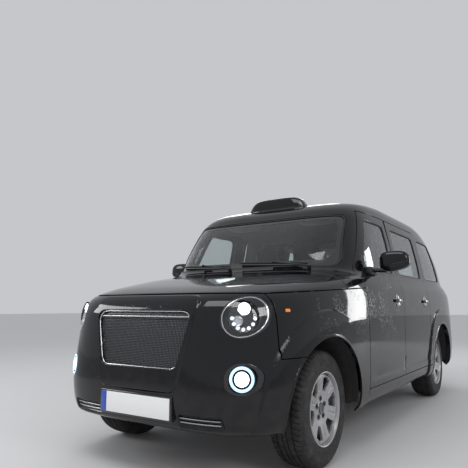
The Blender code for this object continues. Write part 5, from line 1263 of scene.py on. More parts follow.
def makeFogLamp(word, side):
    bm = bmesh.new()
    seat = lampSeat(lamps["fogX"], lamps["fogZ"], 0.75, 0.004)
    lean = abs((seat.to_3x3() @ Vector((0, 0, 1))).y)
    mouth = ellipse((lamps["fogX"], lamps["fogZ"]), 0.0705 * lean, 0.0705)
    addSkin(bm, skinPiece(fogZone, fogOutline(-0.0005), "end", mouth), 0.02, 0.002, 0.003, 0)
    addSkin(bm, skinPiece(fogZone, fogOutline(-0.0005), "end"), 0.004, 0.0005, 0.045, 0)
    addSpun(bm, [(0.07, -0.03), (0.07, -0.001), (0.067, 0.003), (0.064, 0.004)], seat, 3)
    addSpun(bm, [(0.064, 0.004), (0.062, 0.0055), (0.056, 0.0065), (0.051, 0.0055), (0.0495, 0.004)], seat, 1)
    addSpun(bm, [(0.0495, 0.004), (0.0485, 0.0), (0.047, -0.003), (0.04, -0.003), (0.0385, 0.0), (0.0375, 0.004)],
            seat, 3)
    addSpun(bm, [(0.0375, 0.004), (0.035, 0.0055), (0.029, 0.007), (0.018, 0.0085), (0.0, 0.0095)], seat, 2)
    outward(bm)
    if side < 0:
        turnOver(bm)
    place(f"fogLampUnit_{word}", bm, "body", [f"fog_lamp_{word}"], "lamp_lens",
          (glossPlastic, coolLight, whiteLight, blackPlastic))


tailWay = rounded(tailSide, lamps["tailCorner"])
tailZone = (1.9, 2.5, 0.7, 1.15)


def tailPatch(grow, low=None, high=None):
    bm = skinPiece(tailZone, grown(tailWay, grow), "side")
    keepInside(bm, grown(tailEnd, grow), "end")
    if low is not None:
        keepInside(bm, [(0.0, low), (2.0, low), (2.0, high), (0.0, high)], "end")
    return bm


def makeTailLamp(word, side):
    bm = bmesh.new()
    lowZ, highZ = lamps["tailLowZ"], lamps["tailHighZ"]
    height = highZ - lowZ
    addSkin(bm, tailPatch(-0.001), 0.004, 0.0005, 0.05, 0)
    for number, start, end in ((1, 0.62, 1.0), (2, 0.36, 0.61), (3, 0.2, 0.35), (1, 0.0, 0.19)):
        addSkin(bm, tailPatch(-0.003, lowZ + height * start, lowZ + height * end), 0.004, 0.0012, 0.0015, number)
    for share, number in ((0.8, 4), (0.49, 5), (0.28, 5), (0.1, 4)):
        z = lowZ + height * share
        spot, way = skinHit((0.8, 3.0, z), (0, -1, 0))
        across = Vector((0, 0, 1)).cross(way).normalized()
        seat = Matrix.Translation(spot - way * 0.012) @ turnTo(across, way)
        reach = min(0.04, height * 0.085)
        cup = ((1.0, -0.03), (1.0, -0.004), (0.9, -0.002), (0.7, -0.012), (0.3, -0.022), (0.0, -0.024))
        addSpun(bm, [(reach * out, z) for out, z in cup], seat, 4, 32)
        addSpun(bm, [(reach * 0.28, -0.022), (reach * 0.2, -0.01), (0.0, -0.006)], seat, 5, 16)
    outward(bm)
    if side < 0:
        turnOver(bm)
    place(f"tailLampUnit_{word}", bm, "body", [f"tail_lamp_{word}"], "red_lens",
          (blackPlastic, redLens, amberLens, lensGlass, chrome, dimLight))


sideLamp = {"y": -1.925, "z": 0.905, "inner": (0.01, 0.016, 0.009), "outer": (0.003, 0.016, 0.009), "edge": 0.003}
for word, side in sides.items():
    makeHeadlamp(word, side)
    makeFogLamp(word, side)
    makeTailLamp(word, side)
    marker = bmesh.new()
    spot, way = skinHit((1.6, sideLamp["y"], sideLamp["z"]), (-1, 0, 0))
    addBox(marker, spot - Vector(sideLamp["inner"]), spot + Vector(sideLamp["outer"]), sideLamp["edge"],
           turn=way.to_track_quat("X", "Z").to_matrix())
    if side < 0:
        turnOver(marker)
    shadeSmooth(marker)
    place(f"sideMarker_{word}", marker, "body", materials=(amberLens,))
print("lamps made")

# Grille: a woven mesh of small square cells, a bright frame line and a pale bar under its top
weave = {"cellX": 0.01, "cellZ": 0.009, "wire": 0.003, "depth": 0.004, "sunk": 0.0135}


def makeGrille():
    bm = bmesh.new()
    wide, high = grille["topX"] * 2 + 0.02, grille["topZ"] - grille["bottomZ"] + 0.02
    bmesh.ops.create_grid(bm, x_segments=int(wide / weave["cellX"]), y_segments=int(high / weave["cellZ"]),
                          size=0.5)
    middleZ = (grille["topZ"] + grille["bottomZ"]) / 2
    for vert in bm.verts:
        vert.co = Vector((vert.co.x * wide, 0.0, middleZ + vert.co.y * high))
    keepInside(bm, rounded(grown(grilleWay, -0.001), grille["corner"]), "end")
    cells = [f for f in bm.faces if f.calc_area() > weave["cellX"] * weave["cellZ"] * 0.3]
    bmesh.ops.inset_individual(bm, faces=cells, thickness=weave["wire"] / 2, depth=0)
    bmesh.ops.delete(bm, geom=cells, context="FACES")
    for vert in bm.verts:
        spot, way = skinHit((vert.co.x, -3.0, vert.co.z), (0, 1, 0))
        vert.co = spot - way * weave["sunk"]
    bmesh.ops.recalc_face_normals(bm, faces=bm.faces)
    back = bmesh.ops.extrude_face_region(bm, geom=bm.faces[:], use_keep_orig=True)["geom"]
    bmesh.ops.translate(bm, vec=(0, weave["depth"], 0), verts=vertsIn(back))
    bmesh.ops.recalc_face_normals(bm, faces=bm.faces)
    place("grilleMeshPanel", bm, "body", ["grille"], "grille_mesh", (meshMetal,))
    trim = bmesh.new()
    addSkin(trim, skinPiece((-2.4, -1.9, 0.5, 1.0), rounded(grown(grilleWay, 0.004), grille["corner"]), "end"),
            0.003, 0.001, 0.04, 0, True)
    frameLine = denser(rounded(grown(grilleWay, -0.003), grille["corner"]), 0.02)
    addTube(trim, alongSkin(frameLine, "end", 0.003), 0.0036, 1, closed=True)
    reach = grille["topX"] - 0.02
    barZ = grille["topZ"] - 0.032
    for z, radius, number in ((barZ, 0.0058, 2), (barZ - 0.013, 0.003, 0)):
        addTube(trim, alongSkin(denser([(-reach, z), (reach, z)], 0.02, False), "end", 0.01), radius, number)
    shadeSmooth(trim, 40)
    place("grilleTrim", trim, "body", materials=(blackPlastic, chrome, satinMetal))


makeGrille()

# Trims of the bumpers, and the blank plates
plates = {"halfWidth": 0.26, "halfHeight": 0.0555, "frontZ": 0.388, "frontY": -2.3, "rearZ": 0.7, "rearY": 2.3,
          "strip": 0.042}


def makePlate(name, body, z, y, faceMaterial):
    out = -1 if y < 0 else 1
    bm = bmesh.new()
    back = y - out * 0.05
    lowY, highY = sorted((y - out * 0.0035, back))
    wide, high = plates["halfWidth"] + 0.012, plates["halfHeight"] + 0.01
    addBox(bm, (-wide, lowY, z - high), (wide, highY, z + high), 0.005, 0)
    lowY, highY = sorted((y, y - out * 0.006))
    start = plates["halfWidth"] * out
    strip = start - math.copysign(plates["strip"], start)
    for ends, number in (((start, strip), 2), ((strip, -start), 1)):
        low, high = sorted(ends)
        addBox(bm, (low, lowY, z - plates["halfHeight"]), (high, highY, z + plates["halfHeight"]), 0.0012, number)
    shadeSmooth(bm)
    place(name, bm, body, materials=(glossPlastic, faceMaterial, plateBlue))


makePlate("frontPlate", "body", plates["frontZ"], plates["frontY"], plateWhite)
makePlate("rearPlate", "tailgate_lid", plates["rearZ"], plates["rearY"], plateYellow)
bumperTrim = bmesh.new()
for side in sides.values():
    for z, radius in ((0.345, 0.0035), (0.322, 0.0035)):
        run = denser([(0.305 * side, z), (0.545 * side, z)], 0.03, False)
        addTube(bumperTrim, alongSkin(run, "end", 0.012), radius, 0)
    run = denser([(0.2 * side, 0.62), (0.62 * side, 0.62)], 0.03, False)
    addTube(bumperTrim, alongSkin(run, "back", -0.004), 0.006, 1)
place("bumperTrim", bumperTrim, "body", materials=(satinMetal, blackPlastic))
print("grille, plates and trims made")


# Wheels, made about the origin with their axle along X, then moved out to each hub
wheel = {
    "blocks": 62, "phases": (0.0, 0.12, 0.15, 0.97), "slant": 0.9, "sipeDepth": 0.005,
    "windows": 6, "firstWindow": 10.0, "valveAngle": 75.0, "nuts": 5, "nutCircle": 0.056,
}
tyreHalf = [
    (0.096, 0.205), (0.103, 0.211), (0.1066, 0.222), (0.1072, 0.24), (0.1064, 0.2415), (0.1075, 0.26),
    (0.1066, 0.286), (0.1072, 0.288), (0.104, 0.304), (0.0975, 0.316), (0.09, 0.3235), (0.082, 0.3285),
    (0.066, 0.3312), (0.0545, 0.3322), (0.0535, 0.325), (0.0445, 0.3252), (0.0435, 0.333), (0.03, 0.3338),
    (0.0185, 0.3342), (0.0175, 0.3268), (0.0085, 0.3268), (0.0075, 0.3344),
]


def spinX(bm, profile, steps):
    corners = [bm.verts.new((u, r, 0)) for u, r in profile]
    for a, b in zip(corners, corners[1:]):
        bm.edges.new((a, b))
    bmesh.ops.spin(bm, geom=corners + list({e for v in corners for e in v.link_edges}), cent=(0, 0, 0),
                   axis=(1, 0, 0), angle=2 * math.pi, steps=steps, use_merge=True, use_duplicate=False)
    bmesh.ops.remove_doubles(bm, verts=bm.verts, dist=1e-6)


def makeTyre():
    bm = bmesh.new()
    profile = tyreHalf + [(-u, r) for u, r in reversed(tyreHalf)] + [(-0.09, 0.1985), (0.09, 0.1985), tyreHalf[0]]
    steps = wheel["blocks"] * len(wheel["phases"])
    spinX(bm, profile, steps)
    for vert in bm.verts:
        u, radius = vert.co.x, math.hypot(vert.co.y, vert.co.z)
        number = round(math.atan2(vert.co.z, vert.co.y) / (2 * math.pi) * steps) % steps
        block, ring = divmod(number, len(wheel["phases"]))
        angle = (block + wheel["phases"][ring]) / wheel["blocks"] * 2 * math.pi
        if radius > 0.3:
            angle += wheel["slant"] * abs(u) * smooth((radius - 0.3) / 0.02)
        if ring < 2 and 0.032 < abs(u) and radius > 0.3155:
            radius = min(radius, max(radius - wheel["sipeDepth"] * smooth((radius - 0.314) / 0.012), 0.315))
        elif ring < 2 and abs(u) < 0.008 and radius > 0.33:
            radius -= wheel["sipeDepth"] * 0.5
        vert.co = Vector((u, radius * math.cos(angle), radius * math.sin(angle)))
    outward(bm)
    shadeSmooth(bm, 28)
    return bm


def windowOf(number):
    middle = math.radians(wheel["firstWindow"] + 360 / wheel["windows"] * number)
    corners = ((0.104, -0.16), (0.15, -0.255), (0.1765, -0.275), (0.1835, 0.0), (0.1765, 0.275), (0.15, 0.255),
               (0.104, 0.16))
    return rounded([(r * math.cos(middle + a), r * math.sin(middle + a)) for r, a in corners], 0.01, 4)


def makeRim():
    bm = bmesh.new()
    barrel = [
        (0.104, 0.2118), (0.1072, 0.2108), (0.1078, 0.207), (0.106, 0.2034), (0.1, 0.2004), (0.09, 0.1975),
        (0.075, 0.195), (0.03, 0.19), (-0.03, 0.184), (-0.08, 0.19), (-0.1, 0.2), (-0.1066, 0.206),
        (-0.1066, 0.2105), (-0.1035, 0.2118), (-0.096, 0.204), (-0.02, 0.19), (0.06, 0.1992), (0.098, 0.2044),
        (0.104, 0.2118),
    ]
    spinX(bm, barrel, 96)
    outward(bm)
    face = bmesh.new()
    dish = [
        (0.087, 0.196), (0.0905, 0.19), (0.0935, 0.185), (0.093, 0.178), (0.0905, 0.165), (0.088, 0.15),
        (0.085, 0.13), (0.0815, 0.11), (0.078, 0.092), (0.0765, 0.08), (0.0745, 0.074), (0.074, 0.056),
        (0.074, 0.04), (0.0765, 0.0375), (0.077, 0.034),
    ]
    spinX(face, dish, 120)
    for number in range(wheel["windows"]):
        inside, _ = splitFaces(face, face.faces[:], windowOf(number), "side")
        bmesh.ops.delete(face, geom=inside, context="FACES")
    for number in range(wheel["windows"]):
        middle = math.radians(wheel["firstWindow"] + 360 / wheel["windows"] * (number + 0.5))
        corners = ((0.096, -0.075), (0.172, -0.062), (0.172, 0.062), (0.096, 0.075))
        groove = rounded([(r * math.cos(middle + a), r * math.sin(middle + a)) for r, a in corners], 0.006, 3)
        inside, _ = splitFaces(face, face.faces[:], groove, "side")
        bmesh.ops.inset_region(face, faces=inside, thickness=0.003, depth=0.0)
        for vert in {v for f in inside if f.is_valid for v in f.verts}:
            vert.co.x -= 0.0035
    face.normal_update()
    if sum(f.normal.x for f in face.faces) < 0:
        bmesh.ops.reverse_faces(face, faces=face.faces)
    front = set(face.verts)
    copy = bmesh.ops.extrude_face_region(face, geom=face.faces[:], use_keep_orig=True)["geom"]
    bmesh.ops.translate(face, vec=(-0.017, 0, 0), verts=vertsIn(copy))
    outward(face)
    rims = [e for e in face.edges if len(e.link_faces) == 2 and all(v in front for v in e.verts)
            and e.calc_face_angle(0.0) > 1.1 and 0.098 < math.hypot(e.verts[0].co.y, e.verts[0].co.z) < 0.186]
    bmesh.ops.bevel(face, geom=rims, offset=0.0022, segments=2, profile=0.5, affect="EDGES", material=-1)
    addPart(bm, face)
    turn = Matrix.Rotation(math.radians(90), 4, "Y")
    addSpun(bm, [(0.035, 0.066), (0.035, 0.078), (0.0335, 0.08), (0.029, 0.0808), (0.0275, 0.08), (0.0, 0.0812)],
            turn, 2, 40)
    nutSeat = ((0.0165, 0.0742), (0.016, 0.0762), (0.0145, 0.0768), (0.013, 0.0755), (0.0125, 0.07), (0.0, 0.07))
    for number in range(wheel["nuts"]):
        angle = 2 * math.pi * (number + 0.25) / wheel["nuts"]
        y, z = wheel["nutCircle"] * math.cos(angle), wheel["nutCircle"] * math.sin(angle)
        addSpun(bm, nutSeat, Matrix.Translation((0, y, z)) @ turn, 1, 24)
        addRod(bm, (0.069, y, z), (0.079, y, z), 0.0098, 1, 6, bevel=0.0012)
        addRod(bm, (0.078, y, z), (0.0815, y, z), 0.0068, 1, 16, bevel=0.0012)
    angle = math.radians(wheel["valveAngle"])
    valve = [(x, out * math.cos(angle), out * math.sin(angle)) for x, out in ((0.093, 0.193), (0.105, 0.19))]
    addRod(bm, *valve, 0.0035, 3, 12)
    shadeSmooth(bm, 32)
    return bm


def makeBrake():
    bm = bmesh.new()
    turn = Matrix.Rotation(math.radians(90), 4, "Y")
    disc = [
        (0.07, 0.018), (0.139, 0.018), (0.14, 0.019), (0.14, 0.025), (0.136, 0.026), (0.136, 0.031),
        (0.14, 0.032), (0.14, 0.039), (0.139, 0.04), (0.074, 0.04), (0.072, 0.053), (0.07, 0.054),
        (0.058, 0.054), (0.058, 0.05), (0.068, 0.048), (0.07, 0.018),
    ]
    addSpun(bm, disc, turn, 0, 72)
    return bm


tyreMesh, rimMesh, brakeMesh = makeTyre(), makeRim(), makeBrake()
for word, side in sides.items():
    for end, axleY in (("front", cab["frontAxleY"]), ("rear", cab["rearAxleY"])):
        hub = Matrix.Translation((side * cab["wheelX"], axleY, cab["axleZ"]))
        for name, source, nodes, slotName, materials in (
            ("tyreTread", tyreMesh, [f"tyre_{end}_{word}"], "tyre_rubber", (tyreRubber,)),
            ("rimFace", rimMesh, [f"rim_{end}_{word}"], "wheel_alloy",
             (alloy, steelDark, glossPlastic, blackPlastic)),
            ("brakeDisc", brakeMesh, (), None, (steelDisc,)),
        ):
            bm = source.copy()
            if side < 0:
                turnOver(bm)
            bmesh.ops.transform(bm, matrix=hub, verts=bm.verts)
            place(f"{name}_{end}_{word}", bm, f"wheel_{end}_{word}", nodes, slotName, materials)
        caliper = bmesh.new()
        x, y, z = cab["wheelX"], axleY + 0.112, cab["axleZ"] + 0.055
        addBox(caliper, (x + 0.005, y - 0.028, z - 0.055), (x + 0.052, y + 0.03, z + 0.055), 0.008, 0)
        addBox(caliper, (x - 0.03, y - 0.02, z - 0.04), (x + 0.01, y + 0.022, z + 0.04), 0.006, 0)
        addRod(caliper, (x - 0.04, y, z + 0.045), (x - 0.005, y, z + 0.045), 0.008, 0, 12)
        addRod(caliper, (x - 0.04, y, z - 0.045), (x - 0.005, y, z - 0.045), 0.008, 0, 12)
        if side < 0:
            turnOver(caliper)
        shadeSmooth(caliper)
        place(f"caliper_{end}_{word}", caliper, f"steered_{word}" if end == "front" else "body",
              materials=(steelDark,))
for source in (tyreMesh, rimMesh, brakeMesh):
    source.free()

liner = {"radius": 0.4185, "lowAngle": -3.0, "innerX": 0.585, "back": 0.009, "wall": 0.003, "steps": 72}


def makeLiner(name, axleY, side):
    # a thin splash guard from the arch's lip in to the wheel house
    bm = bmesh.new()
    lip = []
    for i in range(liner["steps"] + 1):
        angle = math.radians(liner["lowAngle"] + (180 - 2 * liner["lowAngle"]) * i / liner["steps"])
        y, z = axleY + liner["radius"] * math.cos(angle), cab["axleZ"] + liner["radius"] * math.sin(angle)
        spot, _ = skinHit((1.6, y, z), (-1, 0, 0))
        lip.append(bm.verts.new((spot.x - liner["back"], y, z)))
    for a, b in zip(lip, lip[1:]):
        bm.edges.new((a, b))
    inward = bmesh.ops.extrude_edge_only(bm, edges=bm.edges[:])["geom"]
    for vert in vertsIn(inward):
        vert.co.x = liner["innerX"]
    bmesh.ops.recalc_face_normals(bm, faces=bm.faces)
    bmesh.ops.solidify(bm, geom=bm.faces[:], thickness=liner["wall"])
    outward(bm)
    if side < 0:
        turnOver(bm)
    shadeSmooth(bm, 40)
    place(name, bm, "body", materials=(blackPlastic,))


for word, side in sides.items():
    makeLiner(f"frontArchLiner_{word}", cab["frontAxleY"], side)
    makeLiner(f"rearArchLiner_{word}", cab["rearAxleY"], side)
print("wheels and liners made")


# Rounded forms: a finely cut box swollen to a power form, then leant and trimmed
def swollen(size, power, cuts=18):
    bm = bmesh.new()
    bmesh.ops.create_cube(bm, size=2.0)
    bmesh.ops.subdivide_edges(bm, edges=bm.edges[:], cuts=cuts, use_grid_fill=True)
    for vert in bm.verts:
        p = vert.co
        reach = sum(abs(c) ** power for c in p) ** (1 / power)
        vert.co = Vector([c / reach * s for c, s in zip(p, size)])
    return bm


mirrorForm = {
    "centre": (1.012, -0.692, 1.256), "size": (0.108, 0.054, 0.077), "power": 3.4, "rearCut": 0.034,
    # bars on its front: start and run in x, start and run in z, places, how far back, radius, material
    "bars": ((1.012, 0.098, 1.232, 0.014, 15, 0.002, 0.005, 2), (0.915, 0.19, 1.215, 0.02, 20, 0.0015, 0.0025, 3)),
}


def makeMirror(word, side):
    bm = swollen(mirrorForm["size"], mirrorForm["power"])
    for vert in bm.verts:
        x, y, z = vert.co
        out = smooth((x + 0.06) / 0.168)
        if z < 0:
            z *= 1 - 0.3 * out
        else:
            x *= 1 - 0.1 * (z / mirrorForm["size"][2]) ** 2
        y += 0.012 * out
        vert.co = Vector((x, y, z))
    everything = bm.verts[:] + bm.edges[:] + bm.faces[:]
    cutting = bmesh.ops.bisect_plane(bm, geom=everything, plane_co=(0, mirrorForm["rearCut"], 0),
                                     plane_no=(0, 1, 0), clear_outer=True)
    rim = [g for g in cutting["geom_cut"] if isinstance(g, bmesh.types.BMEdge)]
    filled = bmesh.ops.contextual_create(bm, geom=rim)["faces"]
    bmesh.ops.inset_region(bm, faces=filled, thickness=0.006, depth=0.0)
    inner = [f for f in filled if f.is_valid]
    for f in inner:
        f.material_index = 1
    bmesh.ops.inset_region(bm, faces=inner, thickness=0.001, depth=-0.005)
    shift(bm, mirrorForm["centre"])
    outward(bm)
    tree = BVHTree.FromBMesh(bm)
    for x, runX, z, runZ, places, back, radius, number in mirrorForm["bars"]:
        line = []
        for share in (i / (places - 1) for i in range(places)):
            start = Vector((x + runX * share, -1.0, z + runZ * share))
            spot, _, _, _ = tree.ray_cast(start, Vector((0, 1, 0)))
            if spot:
                line.append(spot + Vector((0, back, 0)))
        addTube(bm, line, radius, number)
    addBox(bm, (0.8, -0.73, 1.176), (0.96, -0.655, 1.208), 0.012, 3, 4)
    addBox(bm, (0.815, -0.775, 1.165), (0.862, -0.61, 1.22), 0.012, 3, 4)
    if side < 0:
        turnOver(bm)
    shadeSmooth(bm, 40)
    place(f"mirrorHousing_{word}", bm, f"front_door_{word}", [f"mirror_{word}"], "black_paint",
          (paint, mirrorFace, lensGlass, blackPlastic))


handle = {
    "z": 0.975, "frontY": -0.245, "rearY": 0.655, "grip": (0.088, 0.0145, 0.0085), "standOff": 0.024, "bow": 0.012,
    "foot": (0.013, 0.011, 0.012), "footAt": 0.072, "lock": (0.062, -0.03, 0),
}


def makeHandle(name, y, side, body):
    bm = bmesh.new()
    spot, way = skinHit((1.6, y, handle["z"]), (-1, 0, 0))
    along = Vector((0, 1, 0))
    up = way.cross(along).normalized()
    along = up.cross(way).normalized()
    seat = Matrix.Translation(spot) @ Matrix((along, up, way)).transposed().to_4x4()
    addSpun(bm, [(0.052, -0.004), (0.051, 0.0018), (0.048, 0.003), (0.044, 0.0022), (0.036, 0.001),
                 (0.0, 0.0006)], seat, 1, 48)
    part = swollen(handle["grip"], 3.0, 10)
    for vert in part.verts:
        vert.co.z += handle["standOff"] - handle["bow"] * (vert.co.x / handle["grip"][0]) ** 2
    addPart(bm, part, 0, seat)
    for end in (-1, 1):
        part = swollen(handle["foot"], 4.0, 5)
        shift(part, (end * handle["footAt"], 0, 0.008))
        addPart(bm, part, 0, seat)
    lock = seat @ Matrix.Translation(handle["lock"])
    addSpun(bm, [(0.0085, -0.002), (0.0085, 0.002), (0.007, 0.0028), (0.0, 0.0028)], lock, 2, 20)
    outward(bm)
    if side < 0:
        turnOver(bm)
    shadeSmooth(bm, 40)
    place(name, bm, body, materials=(glossPlastic, glossPlastic, satinMetal))


for word, side in sides.items():
    makeMirror(word, side)
    makeHandle(f"frontDoorHandle_{word}", handle["frontY"], side, f"front_door_{word}")
    makeHandle(f"rearDoorHandle_{word}", handle["rearY"], side, f"rear_door_{word}")

# The pod on the roof, its face left blank
podForm = {
    "size": (0.28, 0.066, 0.112), "power": 4.2, "centre": (0, -0.6, 1.7495), "narrowing": 0.14, "thinning": 0.18,
    "faceX": 0.225, "faceY": -0.64, "faceLowZ": 1.765, "faceHighZ": 1.845,
}
sign = swollen(podForm["size"], podForm["power"], 24)
for vert in sign.verts:
    lift = smooth((vert.co.z / podForm["size"][2] + 0.2) / 1.2)
    vert.co.x *= 1 - podForm["narrowing"] * lift
    vert.co.y *= 1 - podForm["thinning"] * lift
shift(sign, podForm["centre"])
frontFace = []
for face in sign.faces:
    x, y, z = face.calc_center_median()
    if abs(x) < podForm["faceX"] and y < podForm["faceY"] and podForm["faceLowZ"] < z < podForm["faceHighZ"]:
        face.material_index = 1
        frontFace.append(face)
bmesh.ops.inset_region(sign, faces=frontFace, thickness=0.002, depth=0.0)
bmesh.ops.inset_region(sign, faces=[f for f in frontFace if f.is_valid], thickness=0.001, depth=-0.0015)
outward(sign)
shadeSmooth(sign, 38)
place("roofPod", sign, "body", ["roof_sign"], "sign_black", (glossPlastic, paintDry))

# Wipers parked along the foot of the screen, and the washer jets
wiperForm = {
    "reach": ((0.56, -0.02), (-0.08, -0.66)), "lowZ": 1.228, "highZ": 1.252, "pivotZ": 1.197,
    "jets": ((-0.25, -1.34), (0.25, -1.34)),
}
wipers = bmesh.new()
for pivotX, farX in wiperForm["reach"]:
    low, high = wiperForm["lowZ"], wiperForm["highZ"]
    blade = [(pivotX - 0.02 + (farX - pivotX + 0.02) * k / 12, low + (high - low) * k / 12) for k in range(13)]
    addTube(wipers, alongSkin(blade, "end", -0.01), 0.0055, 0)
    addTube(wipers, alongSkin(blade, "end", -0.001), 0.003, 1)
    pivot, pivotWay = skinHit((pivotX, -3.0, wiperForm["pivotZ"]), (0, 1, 0))
    middle = alongSkin([((pivotX + farX) / 2, (low + high) / 2)], "end", -0.022)[0]
    addRod(wipers, pivot, pivot + pivotWay * 0.028, 0.014, 0, 20, bevel=0.003)
    elbow = pivot.lerp(middle, 0.25) + pivotWay * 0.014
    addTube(wipers, [pivot + pivotWay * 0.022, elbow, middle, middle - pivotWay * 0.014], 0.0055, 0)
    addRod(wipers, middle - pivotWay * 0.016, middle + pivotWay * 0.004, 0.009, 0, 12, bevel=0.002)
for x, y in wiperForm["jets"]:
    spot, _ = skinHit((x, y, 3.0), (0, 0, -1))
    addBox(wipers, spot + Vector((-0.012, -0.012, -0.004)), spot + Vector((0.012, 0.012, 0.008)), 0.004, 0)
place("wipers", wipers, "body", materials=(blackPlastic, rubber))
print("mirrors, handles, pod and wipers made")

# Padded pieces: crowned closed forms with sewn channels
pads = {"cuts": 26, "seamWidth": 0.006, "seamDepth": 0.007}


def pad(bm, centre, size, crown, channels=(), number=0, lean=0.0, sideways=()):
    # size is the cushion's half size, and its crown swells out of its +Z face
    part = swollen(size, 7.0, pads["cuts"])
    for vert in part.verts:
        u, v, w = (c / s for c, s in zip(vert.co, size))
        swell = max(0.0, 1 - u ** 4) * max(0.0, 1 - v ** 4)
        rise = crown * swell * max(w, 0.0)
        for at in channels:
            rise -= pads["seamDepth"] * math.exp(-((vert.co.x - at) / pads["seamWidth"]) ** 2) * max(w, 0.0)
        for at in sideways:
            rise -= pads["seamDepth"] * math.exp(-((vert.co.y - at) / pads["seamWidth"]) ** 2) * max(w, 0.0)
        pull = 0.012 * (1 - w * w) * max(0.0, 1 - abs(w)) + 0.006 * math.exp(-((w - 0.45) / 0.12) ** 2)
        flat = math.hypot(vert.co.x / size[0], vert.co.y / size[1])
        if flat > 0.9:
            vert.co.x *= 1 - pull / size[0]
            vert.co.y *= 1 - pull / size[1]
        vert.co.z += rise
        vert.co.z += 0.0012 * math.sin(vert.co.x * 61 + vert.co.y * 37) * swell
    bmesh.ops.rotate(part, cent=(0, 0, 0), matrix=Matrix.Rotation(lean, 3, "X"), verts=part.verts)
    shift(part, centre)
    outward(part)
    shadeSmooth(part, 60)
    addPart(bm, part, number)


def seatPiece(name, builds, body="body", replaced=(), slotName=None):
    bm = bmesh.new()
    for build in builds:
        pad(bm, **build)
    piece = place(name, bm, body, replaced, slotName, (seatCloth, seatHide))
    return piece


right, upright = math.radians(90), math.radians(84)
driverX = -0.37
driverPads = {
    "cushion": {"centre": (driverX, -0.375, 0.6), "size": (0.235, 0.255, 0.066), "crown": 0.02,
                "channels": (-0.135, 0.135), "sideways": (0.02,), "lean": 0.05},
    "back": {"centre": (driverX, -0.17, 0.985), "size": (0.225, 0.325, 0.056), "crown": 0.022,
             "channels": (-0.13, 0.13), "sideways": (-0.06, 0.09), "lean": upright},
    "headrest": {"centre": (driverX, -0.165, 1.4), "size": (0.128, 0.088, 0.046), "crown": 0.014,
                 "lean": upright, "number": 1},
}
benchPads = {
    "cushion": {"size": (0.183, 0.222, 0.066), "crown": 0.022, "sideways": (0.03,), "lean": 0.05},
    "back": {"size": (0.183, 0.32, 0.06), "crown": 0.024, "sideways": (-0.08, 0.1), "lean": upright},
}
benchX = (-0.372, 0.0, 0.372)
seatPiece("driverSeatPads", driverPads.values(), replaced=["driver_seat"], slotName="seat_cloth")
seatPiece("rearSeatPads", [dict(benchPads["cushion"], centre=(x, 0.615, 0.676)) for x in benchX]
          + [dict(benchPads["back"], centre=(x, 0.775, 1.045)) for x in benchX],
          replaced=["rear_bench"], slotName="seat_cloth")
for word, side in sides.items():
    seatPiece(f"tipSeatPads_{word}", [
        {"centre": (side * 0.33, -0.02, 0.735), "size": (0.19, 0.205, 0.03), "crown": 0.016, "sideways": (0.0,),
         "lean": -right},
    ])
frames = bmesh.new()
addBox(frames, (driverX - 0.19, -0.57, 0.342), (driverX + 0.19, -0.17, 0.545), 0.012, 0)
addBox(frames, (driverX - 0.245, -0.6, 0.52), (driverX + 0.245, -0.14, 0.56), 0.014, 0)
for x in (-0.05, 0.05):
    addRod(frames, (driverX + x, -0.15, 1.26), (driverX + x, -0.15, 1.36), 0.007, 1, 16)
addTube(frames, [(driverX + 0.27, -0.2, 0.5), (driverX + 0.27, -0.2, 0.66)], 0.012, 0)
addBox(frames, (driverX + 0.258, -0.215, 0.62), (driverX + 0.283, -0.185, 0.7), 0.004, 0)
addBox(frames, (-0.545, 0.44, 0.342), (0.545, 0.855, 0.615), 0.012, 0)
addBox(frames, (-0.552, 0.835, 0.6), (0.552, 0.858, 1.34), 0.01, 0)
for x in (-0.19, 0.19):
    addBox(frames, (x - 0.014, 0.7, 0.735), (x + 0.014, 0.74, 0.775), 0.004, 2)
shadeSmooth(frames)
place("seatFrames", frames, "body", materials=(trimDark, satinMetal, blackPlastic))
print("seats made")

# Partition: a panel with a rounded window, its frame, and the tip-up seats' backs
partition = {
    "y": -0.085, "thick": 0.026, "windowX": 0.46, "lowZ": 1.02, "highZ": 1.52, "corner": 0.06,
    "half": ((0.735, 0.345), (0.745, 1.0), (0.7, 1.3), (0.64, 1.62), (0.56, 1.745)),
    "grip": ((0.6, -0.055, 0.98), (0.6, -0.015, 1.0), (0.6, -0.015, 1.34), (0.6, -0.055, 1.36)),
}
wall = bmesh.new()
part = bmesh.new()
bmesh.ops.create_grid(part, x_segments=60, y_segments=60, size=1.0)
for vert in part.verts:
    vert.co = Vector((vert.co.x * 0.75, partition["y"], 1.055 + vert.co.y * 0.71))
mirrored = [(-x, z) for x, z in reversed(partition["half"])]
keepInside(part, rounded(mirrored[-1:] + list(partition["half"]) + mirrored[:-1], 0.05), "end")
wide, low, high = partition["windowX"], partition["lowZ"], partition["highZ"]
opening = rounded([(-wide, low), (wide, low), (wide, high), (-wide, high)], partition["corner"])
cutHole(part, opening, "end")
back = bmesh.ops.extrude_face_region(part, geom=part.faces[:], use_keep_orig=True)["geom"]
bmesh.ops.translate(part, vec=(0, partition["thick"], 0), verts=vertsIn(back))
addPart(wall, outward(part), 0)
for y in (partition["y"], partition["y"] + partition["thick"]):
    addTube(wall, [(p.x, y, p.y) for p in opening], 0.009, 1, closed=True)
addBox(wall, (-0.012, partition["y"] + 0.004, low), (0.012, partition["y"] + 0.022, high), 0.003, 1)
for side in sides.values():
    addBox(wall, (side * 0.33 - 0.195, -0.062, 0.52), (side * 0.33 + 0.195, -0.046, 0.95), 0.006, 0)
    addTube(wall, [(side * x, y, z) for x, y, z in partition["grip"]], 0.013, 2)
shadeSmooth(wall)
place("partitionPanel", wall, "body", ["partition"], "black_plastic", (trimGrey, rubber, yellowTrim))
pane = bmesh.new()
addBox(pane, (-0.455, partition["y"] + 0.009, low + 0.004), (0.455, partition["y"] + 0.015, high - 0.004), 0.001)
